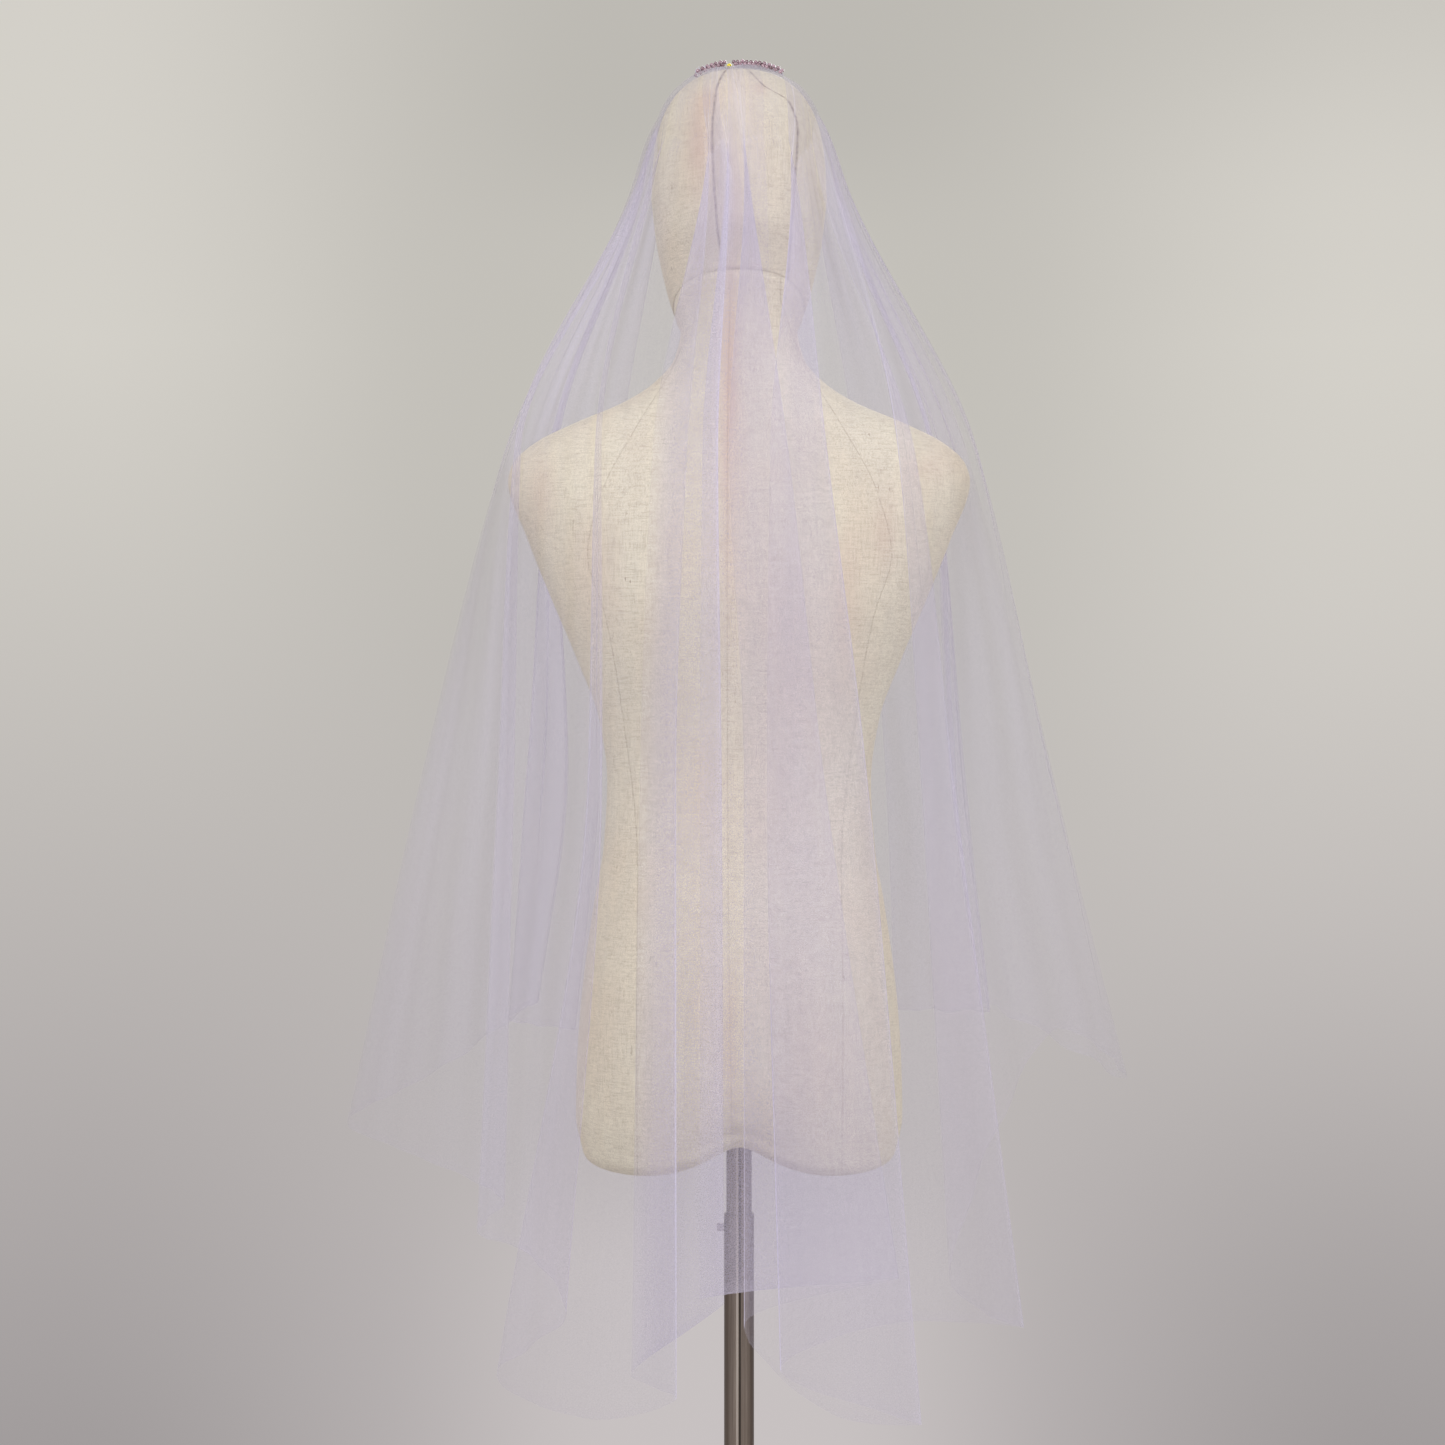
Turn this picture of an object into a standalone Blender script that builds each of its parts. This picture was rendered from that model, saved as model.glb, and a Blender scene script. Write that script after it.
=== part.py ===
"""Bridal veil of soft tulle on a limbless linen dress form with a telescoping floor stand.

Metres, +Z up. The origin is the middle of the base's underside. The form's back faces -Y and its
front +Y, so +X is its right-hand side as seen from behind.
"""
import math

import bmesh
import bpy
import numpy as np
from mathutils import Vector

GAP = 0.0003  # between pieces that touch on the real object

# Stand
BASE_RADIUS = 0.160
BASE_RIM = 0.006  # height of the plate at its rim
BASE_RISE = 0.011  # height of the plate at its boss
BOSS_RADIUS = 0.023
BOSS_TOP = 0.046
SOCKET_FLOOR = 0.004
SLEEVE_RADIUS = 0.013
SLEEVE_BORE = 0.0114
SLEEVE_TOP = 0.704
POLE_RADIUS = 0.011
POLE_BOTTOM = 0.340
POLE_IN_TORSO = 0.055  # how far the pole goes up into the torso
LOCK_RADIUS = 0.0035
LOCK_LENGTH = 0.006
LOCK_DROP = 0.012  # below the sleeve's rim
ROUND_SIDES = 32

# Torso from its seam with the head down to the hips.
# Columns: height, half width, reach to the back, reach to the front.
TORSO_SECTIONS = (
    (1.4892, 0.0572, 0.066, 0.055),
    (1.4700, 0.0500, 0.057, 0.050),
    (1.4440, 0.0560, 0.054, 0.050),
    (1.4242, 0.0740, 0.056, 0.051),
    (1.4068, 0.1020, 0.060, 0.053),
    (1.3894, 0.1435, 0.066, 0.056),
    (1.3720, 0.1780, 0.071, 0.060),
    (1.3546, 0.1960, 0.076, 0.067),
    (1.3400, 0.2000, 0.081, 0.076),
    (1.2894, 0.1830, 0.094, 0.105),
    (1.2372, 0.1620, 0.098, 0.124),
    (1.1850, 0.1400, 0.090, 0.112),
    (1.1328, 0.1210, 0.078, 0.092),
    (1.0806, 0.1140, 0.072, 0.088),
    (1.0197, 0.1175, 0.081, 0.096),
    (0.9762, 0.1250, 0.096, 0.101),
    (0.8892, 0.1365, 0.114, 0.102),
    (0.8370, 0.1400, 0.112, 0.098),
    (0.7900, 0.1410, 0.102, 0.093),
    (0.7600, 0.1350, 0.092, 0.086),
)
TORSO_BOTTOM = 0.7413
TORSO_ARCH = 0.021  # how far the underside rises at the pole
TORSO_ARCH_WIDTH = 0.050
TORSO_SQUARE = 2.3  # exponent of the sections' ellipse; 2 is a plain ellipse
TORSO_RINGS = 30
TORSO_SIDES = 36

# Head: a blank egg, widest at HEAD_MIDDLE, with a flat seam that leans forward over the neck
HEAD_MIDDLE = 1.585
HEAD_RISE = 0.1085  # from its widest height to its top
HEAD_HALF_WIDTH = 0.0757
HEAD_BACK = 0.095
HEAD_FRONT = 0.093
HEAD_DOME = 2.7  # exponent of the dome above the widest height
# Columns as for the torso, from the seam up to the widest height
HEAD_SECTIONS = (
    (1.4895, 0.0575, 0.067, 0.056),
    (1.5150, 0.0645, 0.079, 0.073),
    (1.5450, 0.0710, 0.089, 0.087),
    (HEAD_MIDDLE, HEAD_HALF_WIDTH, HEAD_BACK, HEAD_FRONT),
)
SEAM_HEIGHT = 1.4895
SEAM_SLOPE = 0.37  # rise per metre towards the back
SEAM_FADE = 0.075  # above and below the seam, where the rings lie level again
HEAD_DOME_RINGS = 9
HEAD_NECK_RINGS = 6
HEAD_SIDES = 36

# Comb, gathered heading and bead row, across the crown just behind its top
COMB_Y = -0.011
COMB_HALF_LENGTH = 0.0376
COMB_WIDTH = 0.005
COMB_THICK = 0.0016
COMB_STEPS = 20
TOOTH_COUNT = 15
TOOTH_LENGTH = 0.030
TOOTH_WIDTH = 0.0016
TOOTH_PITCH = 0.0049
HEADING_HALF_LENGTH = 0.0382
HEADING_WIDTH = 0.008
HEADING_THICK = 0.0014
BEAD_ROW_RADIUS = 0.0020
BEAD_ROW_Y = COMB_Y - 0.0005
PIN_X = -0.0085
PIN_BALL_RADIUS = 0.0024
PIN_SHAFT_RADIUS = 0.0004
PIN_LENGTH = 0.024
PIN_BORE_RADIUS = 0.0008

# Veil
VEIL_THICK = 0.0010
VEIL_CLEAR = 0.0022  # least space between the cloth's middle and the form
VEIL_START_Y = COMB_Y - HEADING_WIDTH / 2 - GAP - 0.0001
VEIL_START_LIFT = 0.0022  # of the cloth's middle above the crown, where it leaves the heading
VEIL_CORNER = 0.0085  # the gathered edge turns round the comb's ends in an arc of this radius
VEIL_STRAIGHT = 0.0370  # half of its straight stretch
LAYER_SHARE = 0.9  # of its space from the head at the head level that a line keeps at the crown
HEAD_LEVEL = 1.585
CROWN_LEVEL = 1.646
CROWN_SHARE = 0.62  # of the way from the comb to the head level, at the crown level
SHOULDER_LEVEL = 1.360
WAIST_LEVEL = 1.090
FOLD_ROUND = 0.011  # tangent length that rounds a sharp fold
SMOOTHING_PASSES = 4  # that even out the folds at the crown, where the gathers lie side by side
VEIL_ROWS = 20
CROWN_ROWS = 0.45  # share of the rows that lie above the head level
CROWN_DROP = 0.105  # share of the drop that lies above the head level
COLUMNS_PER_FOLD = 3
MM = 0.001

# The lines that the cloth is folded along, from its left front edge round the back to its right
# front edge, in millimetres. Columns: name, place along the comb, then x and y at the head level,
# at the shoulder level and at the waist level, then x, y and height at the hem.
VEIL_LINES = (
    ("left_front_edge", -52.7, -70, 64, -108, 88, -124, 112, -150, 140, 847),
    ("left_front_out", -50.8, -94, 46, -172, 92, -192, 108, -212, 140, 856),
    ("left_front_in", -48.9, -88, 28, -164, 62, -152, 62, -180, 84, 879),
    ("left_front_panel", -47, -95, 12, -199, 36, -243, 42, -276, 60, 816),
    ("left_outline", -45.2, -97, -2, -204, 2, -275, 4, -342, 10, 782),
    ("left_back_panel", -43.3, -92, -14, -200, -32, -240, -28, -291, -30, 764),
    ("left_pleat_a_in", -41.4, -86, -24, -186, -56, -192, -55, -201, -50, 724),
    ("left_pleat_a_out", -39.5, -91, -36, -189, -74, -201, -84, -219, -88, 704),
    ("left_between", -37.2, -82, -46, -158, -84, -160, -94, -181, -97, 691),
    ("left_pleat_b_in", -34.4, -74, -56, -116, -98, -115, -106, -144, -108, 642),
    ("left_pleat_b_out", -31.2, -76, -68, -119, -112, -124, -128, -198, -150, 600),
    ("left_panel", -26.6, -50, -93, -76, -127, -82, -147, -112, -200, 577),
    ("left_panel_edge", -22, -26, -114, -43, -134, -52, -153, -51, -192, 592),
    ("left_panel_tuck", -18.6, -29, -99, -72, -112, -82, -132, -88, -164, 604),
    ("middle_pleat_out", -15.2, -9, -110, -18, -111, -15, -129, -13, -153, 659),
    ("middle_pleat_in", -11.6, -11, -101, -31, -105, -33, -123, -33, -143, 660),
    ("middle_edge", -8, 7, -99, 40, -101, 69, -117, 130, -137, 676),
    ("middle_tuck", -4, 4, -108, -9, -112, 3, -130, 3, -160, 642),
    ("right_panel", 8, 22, -112, 29, -130, 49, -156, 87, -206, 578),
    ("right_panel_edge", 29, 47, -96, 71, -127, 103, -147, 144, -196, 572),
    ("right_panel_tuck", 31.6, 43, -86, 25, -119, 22, -133, 32, -169, 609),
    ("right_between", 34, 57, -80, 76, -112, 88, -124, 130, -158, 645),
    ("right_pleat_out", 36.4, 67, -70, 146, -78, 178, -86, 237, -94, 626),
    ("right_pleat_in", 38.6, 81, -68, 130, -120, 147, -142, 168, -178, 690),
    ("right_back_panel", 41, 92, -40, 198, -52, 228, -80, 264, -99, 876),
    ("right_outline", 44, 96, -6, 204, 2, 270, 2, 335, 0, 821),
    ("right_front_in", 47, 88, 18, 176, 58, 190, 54, 218, 62, 880),
    ("right_front_out", 50, 94, 40, 176, 88, 204, 106, 228, 134, 864),
    ("right_front_edge", 52.7, 70, 64, 108, 88, 134, 117, 145, 146, 865),
)


def monotone(keys, values, at):
    """A smooth curve through values at rising keys, which never swings past them, read at `at`."""
    keys = np.asarray(keys, float)
    values = np.asarray(values, float)
    step = np.diff(keys)
    rise = np.diff(values) / step
    slope = np.zeros(len(keys))
    slope[0] = rise[0]
    slope[-1] = rise[-1]
    for i in range(1, len(keys) - 1):
        if rise[i - 1] * rise[i] > 0:
            before = 2 * step[i] + step[i - 1]
            after = step[i] + 2 * step[i - 1]
            slope[i] = (before + after) / (before / rise[i - 1] + after / rise[i])
    at = np.clip(np.asarray(at, float), keys[0], keys[-1])
    i = np.clip(np.searchsorted(keys, at) - 1, 0, len(keys) - 2)
    t = (at - keys[i]) / step[i]
    return (
        (1 + 2 * t) * (1 - t) ** 2 * values[i]
        + t * (1 - t) ** 2 * step[i] * slope[i]
        + t**2 * (3 - 2 * t) * values[i + 1]
        + t**2 * (t - 1) * step[i] * slope[i + 1]
    )


def section_sizes(sections, height):
    """Half width and the reaches to the back and front of a sections table at a height."""
    rows = np.array(sorted(sections))
    return [monotone(rows[:, 0], rows[:, column], height) for column in (1, 2, 3)]


def form_sizes(height):
    """The form's half width, back and front at each height, torso and head alike."""
    torso = section_sizes(TORSO_SECTIONS, height)
    head = section_sizes(HEAD_SECTIONS, height)
    above = np.asarray(height) > SEAM_HEIGHT
    return [np.where(above, up, down) for up, down in zip(head, torso)]


def clear_of_form(x, y, z, space):
    """Moves points that are in the form, or nearer to it than space, out of it."""
    rise = (z - HEAD_MIDDLE) / (HEAD_RISE + space)
    depth = np.where(y < 0, HEAD_BACK, HEAD_FRONT) + space
    flat = np.hypot(x / (HEAD_HALF_WIDTH + space), y / depth)
    share = (flat**HEAD_DOME + np.clip(rise, 0, None) ** HEAD_DOME) ** (1 / HEAD_DOME)
    out = np.where((rise > 0) & (share < 1), 1 / np.maximum(share, 0.2), 1.0)
    x = x * out
    y = y * out
    z = np.where(rise > 0, HEAD_MIDDLE + (z - HEAD_MIDDLE) * out, z)
    width, back, front = form_sizes(z)
    depth = np.where(y < 0, back, front) + space
    square = np.where(z < SEAM_HEIGHT, TORSO_SQUARE, 2.0)
    share = (np.abs(x / (width + space)) ** square + np.abs(y / depth) ** square) ** (1 / square)
    out = np.where((z < HEAD_MIDDLE) & (z > TORSO_BOTTOM) & (share < 1), 1 / np.maximum(share, 0.2), 1)
    return x * out, y * out, z


def crown_height(x, y):
    """Height of the head's dome over a point."""
    depth = HEAD_BACK if y < 0 else HEAD_FRONT
    flat = math.hypot(x / HEAD_HALF_WIDTH, y / depth)
    return HEAD_MIDDLE + HEAD_RISE * (1 - flat**HEAD_DOME) ** (1 / HEAD_DOME)


def gathered_edge(place):
    """Where on the crown a line starts: straight behind the heading, then round its ends."""
    turn = max(abs(place) - VEIL_STRAIGHT, 0) / VEIL_CORNER
    x = min(abs(place), VEIL_STRAIGHT) + VEIL_CORNER * math.sin(turn)
    y = VEIL_START_Y + VEIL_CORNER * (1 - math.cos(turn))
    x = math.copysign(x, place)
    return x, y, crown_height(x, y) + VEIL_START_LIFT


def evened(values):
    """Each fold line's values pulled towards its neighbours', so that pleats lie side by side."""
    for _ in range(SMOOTHING_PASSES):
        values = np.concatenate(
            [values[:1], (values[:-2] + 2 * values[1:-1] + values[2:]) / 4, values[-1:]]
        )
    return values


def outside_head(x, y):
    """How far points at the head level lie outside the head."""
    depth = np.where(y < 0, HEAD_BACK, HEAD_FRONT)
    reach = np.hypot(x / HEAD_HALF_WIDTH, y / depth)
    return (reach - 1) * np.hypot(x, y) / reach


def fold_lines(share):
    """Points down each line of the veil, and the space that each keeps from the form."""
    table = np.array([row[1:] for row in VEIL_LINES]) * MM
    head = table[:, 1:3]
    flat = evened(head)
    out = outside_head(head[:, 0], head[:, 1])
    flat_out = evened(out)
    lines = []
    for i, row in enumerate(table):
        comb, head_x, head_y, top_x, top_y, waist_x, waist_y, hem_x, hem_y, hem = row
        start_x, start_y, start = gathered_edge(comb)
        crown_x = start_x + CROWN_SHARE * (flat[i, 0] - start_x)
        crown_y = start_y + CROWN_SHARE * (flat[i, 1] - start_y)
        levels = (hem, WAIST_LEVEL, SHOULDER_LEVEL, HEAD_LEVEL, CROWN_LEVEL, start)
        height = start + (hem - start) * share
        x = monotone(levels, (hem_x, waist_x, top_x, head_x, crown_x, start_x), height)
        y = monotone(levels, (hem_y, waist_y, top_y, head_y, crown_y, start_y), height)
        at_crown = np.clip((height - HEAD_LEVEL) / (CROWN_LEVEL - HEAD_LEVEL), 0, 1)
        off_comb = np.clip((start - height) / (start - HEAD_LEVEL), 0, 1)
        off_head = np.clip((HEAD_LEVEL - height) / (HEAD_LEVEL - SEAM_HEIGHT), 0, 1)
        space = out[i] + (flat_out[i] - out[i]) * at_crown
        extra = LAYER_SHARE * (space - VEIL_CLEAR) * off_comb * (1 - off_head)
        lines.append(np.stack([x, y, height, VEIL_CLEAR + np.clip(extra, 0, None)], axis=-1))
    return np.array(lines)


def across_folds(lines, per_fold):
    """A curve through neighbouring fold lines, rounded at the folds; lines is (fold, row, values)."""
    step = np.diff(lines, axis=0)
    length = np.linalg.norm(step[..., :2], axis=-1, keepdims=True)
    way = step[..., :2] / length
    lean = np.concatenate([way[:1], (way[1:] + way[:-1]) / 2, way[-1:]])
    size = np.maximum(np.linalg.norm(lean, axis=-1, keepdims=True), 0.02)
    before = step[:-1, :, 2:]
    after = step[1:, :, 2:]
    both = before * after
    drop = np.where(both > 0, 2 * both / np.where(both > 0, before + after, 1), 0)
    drop = np.concatenate([step[:1, :, 2:], drop, step[-1:, :, 2:]])
    columns = []
    for i in range(len(step)):
        rounding = np.minimum(FOLD_ROUND, 1.2 * length[i])
        ends = []
        for k in (i, i + 1):
            level = lean[k] * np.maximum(length[i], rounding / size[k])
            ends.append(np.concatenate([level, drop[k]], axis=-1))
        for j in range(per_fold):
            t = j / per_fold
            columns.append(
                (1 + 2 * t) * (1 - t) ** 2 * lines[i]
                + t * (1 - t) ** 2 * ends[0]
                + t**2 * (3 - 2 * t) * lines[i + 1]
                + t**2 * (t - 1) * ends[1]
            )
    columns.append(lines[-1])
    return np.array(columns)


def veil_middle(rows, per_fold):
    """The middle surface of the veil as points (column, row, xyz), clear of the form."""
    place = np.linspace(0, 1, rows + 1)
    over_crown = CROWN_DROP * (1 - np.cos(np.clip(place / CROWN_ROWS, 0, 1) * math.pi / 2))
    share = over_crown + (1 - CROWN_DROP) * np.clip((place - CROWN_ROWS) / (1 - CROWN_ROWS), 0, 1)
    grid = across_folds(fold_lines(share), per_fold)
    x, y, z = clear_of_form(*np.moveaxis(grid, -1, 0))
    return np.stack([x, y, z], axis=-1)


def squared_to(step, down):
    """Unit steps across the cloth, made square to its fall."""
    flat = step - np.sum(step * down, axis=-1, keepdims=True) * down
    return flat / np.linalg.norm(flat, axis=-1, keepdims=True)


def wall_from_grid(grid, thick):
    """Vertices and faces of a closed wall around a grid of middle points."""
    down = np.gradient(grid, axis=1)
    down /= np.linalg.norm(down, axis=-1, keepdims=True)
    step = np.diff(grid, axis=0)
    before = squared_to(np.concatenate([step[:1], step]), down)
    after = squared_to(np.concatenate([step, step[-1:]]), down)
    normal = np.cross(before + after, down)
    normal /= np.linalg.norm(normal, axis=-1, keepdims=True)
    columns, rows = grid.shape[:2]
    sides = [grid + normal * thick / 2, grid - normal * thick / 2]
    verts = np.concatenate([side.reshape(-1, 3) for side in sides])
    far = columns * rows

    def at(i, j):
        return i * rows + j

    faces = []
    for i in range(columns - 1):
        for j in range(rows - 1):
            a, b, c, d = at(i, j), at(i, j + 1), at(i + 1, j + 1), at(i + 1, j)
            falling = np.linalg.norm(grid[i, j] - grid[i + 1, j + 1])
            rising = np.linalg.norm(grid[i, j + 1] - grid[i + 1, j])
            halves = ((a, b, c), (a, c, d)) if falling < rising else ((a, b, d), (b, c, d))
            for half in halves:  # both sides share their diagonals, so that the wall keeps its width
                faces.append(half)
                faces.append(tuple(far + v for v in reversed(half)))
    rim = [at(i, 0) for i in range(columns)]
    rim += [at(columns - 1, j) for j in range(1, rows)]
    rim += [at(i, rows - 1) for i in range(columns - 2, -1, -1)]
    rim += [at(0, j) for j in range(rows - 2, 0, -1)]
    for a, b in zip(rim, rim[1:] + rim[:1]):
        faces.append((b, a, far + a, far + b))
    return verts, faces


def material(name, colour, roughness, metallic=0.0):
    """A Principled material with one plain colour."""
    made = bpy.data.materials.new(name)
    made.use_nodes = True
    shader = made.node_tree.nodes["Principled BSDF"]
    shader.inputs["Base Color"].default_value = (*colour, 1.0)
    shader.inputs["Roughness"].default_value = roughness
    shader.inputs["Metallic"].default_value = metallic
    return made


def add_object(name, verts, faces, look, smooth=True):
    """One closed object from vertices and faces, with its normals made to point out."""
    mesh = bpy.data.meshes.new(name)
    mesh.from_pydata([tuple(v) for v in verts], [], [tuple(f) for f in faces])
    work = bmesh.new()
    work.from_mesh(mesh)
    bmesh.ops.recalc_face_normals(work, faces=work.faces)
    work.to_mesh(mesh)
    work.free()
    mesh.materials.append(look)
    made = bpy.data.objects.new(name, mesh)
    bpy.context.scene.collection.objects.link(made)
    if smooth:
        mesh.shade_smooth()
        mesh.set_sharp_from_angle(angle=math.radians(40))
    return made


def loft(rings, bottom, top):
    """Faces between rings of points, closed by a fan to the bottom and the top point."""
    sides = len(rings[0])
    verts = [point for ring in rings for point in ring] + [bottom, top]
    faces = []
    for r in range(len(rings) - 1):
        for s in range(sides):
            n = (s + 1) % sides
            faces.append((r * sides + s, r * sides + n, (r + 1) * sides + n, (r + 1) * sides + s))
    last = (len(rings) - 1) * sides
    low = len(verts) - 2
    for s in range(sides):
        n = (s + 1) % sides
        faces.append((n, s, low))
        faces.append((last + s, last + n, low + 1))
    return verts, faces


def seam_lean(height):
    """Share of the seam's slope that a ring at this height has."""
    far = min(abs(height - SEAM_HEIGHT) / SEAM_FADE, 1.0)
    return 1 - far * far * (3 - 2 * far)


def section_ring(height, width, back, front, sides, square=2.0):
    """Points of one section, leaning with the seam between head and neck."""
    ring = []
    for s in range(sides):
        turn = 2 * math.pi * s / sides
        c = math.cos(turn)
        n = math.sin(turn)
        x = width * math.copysign(abs(c) ** (2 / square), c)
        y = (front if n > 0 else back) * math.copysign(abs(n) ** (2 / square), n)
        ring.append((x, y, height - seam_lean(height) * SEAM_SLOPE * y))
    return ring


def make_torso(look):
    """Neck, shoulders, waist and hips, with the arched underside of a limbless form."""
    top = TORSO_SECTIONS[0][0]
    low = TORSO_SECTIONS[-1][0]
    rings = []
    for height in np.linspace(low, top, TORSO_RINGS):
        width, back, front = section_sizes(TORSO_SECTIONS, height)
        rings.append(section_ring(height, width, back, front, TORSO_SIDES, TORSO_SQUARE))
    under = []
    width, back, front = TORSO_SECTIONS[-1][1:]
    for share, drop in ((0.30, 1.0), (0.62, 1.0), (0.86, 0.80), (0.955, 0.50)):
        ring = section_ring(low, width * share, back * share, front * share, TORSO_SIDES, TORSO_SQUARE)
        under.append([(x, y, underside(x, low + drop * (TORSO_BOTTOM - low))) for x, y, z in ring])
    middle = underside(0, TORSO_BOTTOM)
    verts, faces = loft(under + rings, (0, 0, middle), (0, 0, top))
    torso = add_object("form_torso", verts, faces, look)
    bore = add_cylinder("torso_bore", SLEEVE_BORE, middle - 0.02, middle + POLE_IN_TORSO + GAP, look)
    cut_with(torso, bore)
    return middle


def underside(x, height):
    """The underside's height: it rises to an arch between the two thigh ends."""
    return height + TORSO_ARCH * math.exp(-((x / TORSO_ARCH_WIDTH) ** 2))


def make_head(look):
    """Blank egg head, split from the neck by its leaning seam, with the pin's bore in its crown."""
    rings = []
    for height in np.linspace(SEAM_HEIGHT + GAP * 2, HEAD_MIDDLE, HEAD_NECK_RINGS):
        width, back, front = section_sizes(HEAD_SECTIONS, height)
        rings.append(section_ring(height, width, back, front, HEAD_SIDES))
    for step in range(1, HEAD_DOME_RINGS + 1):
        turn = math.pi / 2 * step / (HEAD_DOME_RINGS + 1)
        share = math.cos(turn) ** (2 / HEAD_DOME)
        height = HEAD_MIDDLE + HEAD_RISE * math.sin(turn) ** (2 / HEAD_DOME)
        rings.append(
            section_ring(height, HEAD_HALF_WIDTH * share, HEAD_BACK * share, HEAD_FRONT * share, HEAD_SIDES)
        )
    low = (0, 0, SEAM_HEIGHT + GAP * 2)
    verts, faces = loft(rings, low, (0, 0, HEAD_MIDDLE + HEAD_RISE))
    head = add_object("form_head", verts, faces, look)
    y = pin_y()
    top = crown_height(PIN_X, y)
    bore = add_cylinder("pin_bore", PIN_BORE_RADIUS, top - PIN_LENGTH - GAP, top + 0.01, look, 12, (PIN_X, y))
    cut_with(head, bore)


def pin_y():
    """The pin goes down just in front of the heading's edge."""
    return COMB_Y + HEADING_WIDTH / 2 + PIN_SHAFT_RADIUS + GAP


def add_cylinder(name, radius, bottom, top, look, sides=ROUND_SIDES, centre=(0.0, 0.0)):
    """A closed upright cylinder."""
    rings = []
    for height in (bottom, top):
        rings.append(circle(radius, height, sides, centre))
    verts, faces = loft(rings, (*centre, bottom), (*centre, top))
    return add_object(name, verts, faces, look)


def circle(radius, height, sides=ROUND_SIDES, centre=(0.0, 0.0)):
    """Points of a level circle."""
    turns = [2 * math.pi * s / sides for s in range(sides)]
    return [(centre[0] + radius * math.cos(t), centre[1] + radius * math.sin(t), height) for t in turns]


def cut_with(target, cutter):
    """Takes the cutter's shape out of the target, and hides the cutter."""
    cut = target.modifiers.new("bore", "BOOLEAN")
    cut.object = cutter
    cut.operation = "DIFFERENCE"
    cutter.hide_render = True
    cutter.display_type = "WIRE"


def turned(name, profile, look, sides):
    """A turned solid whose profile runs from the axis at the top to the axis at the bottom."""
    rings = [circle(radius, height, sides) for radius, height in profile[1:-1]]
    rings.reverse()
    verts, faces = loft(rings, (0, 0, profile[-1][1]), (0, 0, profile[0][1]))
    return add_object(name, verts, faces, look)


def make_stand(look, torso_underside):
    """Round base with a socketed boss, outer sleeve with its lock, and the pole inside it."""
    socket = SLEEVE_RADIUS + GAP
    profile = (
        (0, SOCKET_FLOOR),
        (socket, SOCKET_FLOOR),
        (socket, BOSS_TOP),
        (BOSS_RADIUS - 0.002, BOSS_TOP),
        (BOSS_RADIUS, BOSS_TOP - 0.002),
        (BOSS_RADIUS, BASE_RISE + 0.004),
        (BOSS_RADIUS + 0.006, BASE_RISE),
        (BASE_RADIUS - 0.004, BASE_RIM),
        (BASE_RADIUS, BASE_RIM - 0.003),
        (BASE_RADIUS, 0.001),
        (BASE_RADIUS - 0.001, 0),
        (0, 0),
    )
    turned("stand_base", profile, look, 48)
    bottom = SOCKET_FLOOR + GAP
    sleeve = add_cylinder("stand_sleeve", SLEEVE_RADIUS, bottom, SLEEVE_TOP, look)
    bore = add_cylinder("sleeve_bore", SLEEVE_BORE, bottom - 0.01, SLEEVE_TOP + 0.01, look)
    cut_with(sleeve, bore)
    lock = add_cylinder("stand_lock", LOCK_RADIUS, SLEEVE_RADIUS + GAP, SLEEVE_RADIUS + LOCK_LENGTH, look, 16)
    lock.rotation_euler = (0, -math.pi / 2, 0)
    lock.location = (0, 0, SLEEVE_TOP - LOCK_DROP)
    add_cylinder("stand_pole", POLE_RADIUS, POLE_BOTTOM, torso_underside + POLE_IN_TORSO, look)


def crown_strip(half_length, y_low, y_high, lift, thick):
    """A strip across the crown between two depths, lifted off the head by lift."""
    verts = []
    for step in range(COMB_STEPS + 1):
        x = half_length * (2 * step / COMB_STEPS - 1)
        for y in (y_low, y_high):
            base = crown_height(x, y) + lift
            verts += [(x, y, base), (x, y, base + thick)]
    faces = [(0, 1, 3, 2)]
    for step in range(COMB_STEPS):
        a = step * 4
        b = a + 4
        faces += [
            (a, a + 2, b + 2, b),
            (a + 1, b + 1, b + 3, a + 3),
            (a, b, b + 1, a + 1),
            (a + 2, a + 3, b + 3, b + 2),
        ]
    last = COMB_STEPS * 4
    faces.append((last, last + 2, last + 3, last + 1))
    return verts, faces


def make_comb(look):
    """Curved spine with teeth that lie forward along the head."""
    spine, faces = crown_strip(
        COMB_HALF_LENGTH, COMB_Y - COMB_WIDTH / 2, COMB_Y + COMB_WIDTH / 2, GAP, COMB_THICK
    )
    comb = add_object("comb", spine, faces, look)
    for tooth in range(TOOTH_COUNT):
        x = TOOTH_PITCH * (tooth - (TOOTH_COUNT - 1) / 2)
        verts = []
        steps = 5
        for step in range(steps + 1):
            y = COMB_Y + TOOTH_LENGTH * step / steps
            half = TOOTH_WIDTH / 2 * (1 - 0.4 * step / steps)
            for side in (-half, half):
                base = crown_height(x + side, y) + GAP
                verts += [(x + side, y, base + 0.00005), (x + side, y, base + COMB_THICK - 0.0002)]
        quads = [(0, 2, 3, 1)]
        for step in range(steps):
            a = step * 4
            b = a + 4
            quads += [
                (a, b, b + 2, a + 2),
                (a + 1, a + 3, b + 3, b + 1),
                (a, a + 1, b + 1, b),
                (a + 2, b + 2, b + 3, a + 3),
            ]
        end = steps * 4
        quads.append((end, end + 1, end + 3, end + 2))
        part = add_object(f"tooth_{tooth}", verts, quads, look)
        part.hide_render = True
        part.display_type = "WIRE"
        join = comb.modifiers.new("tooth", "BOOLEAN")
        join.object = part
        join.operation = "UNION"


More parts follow.
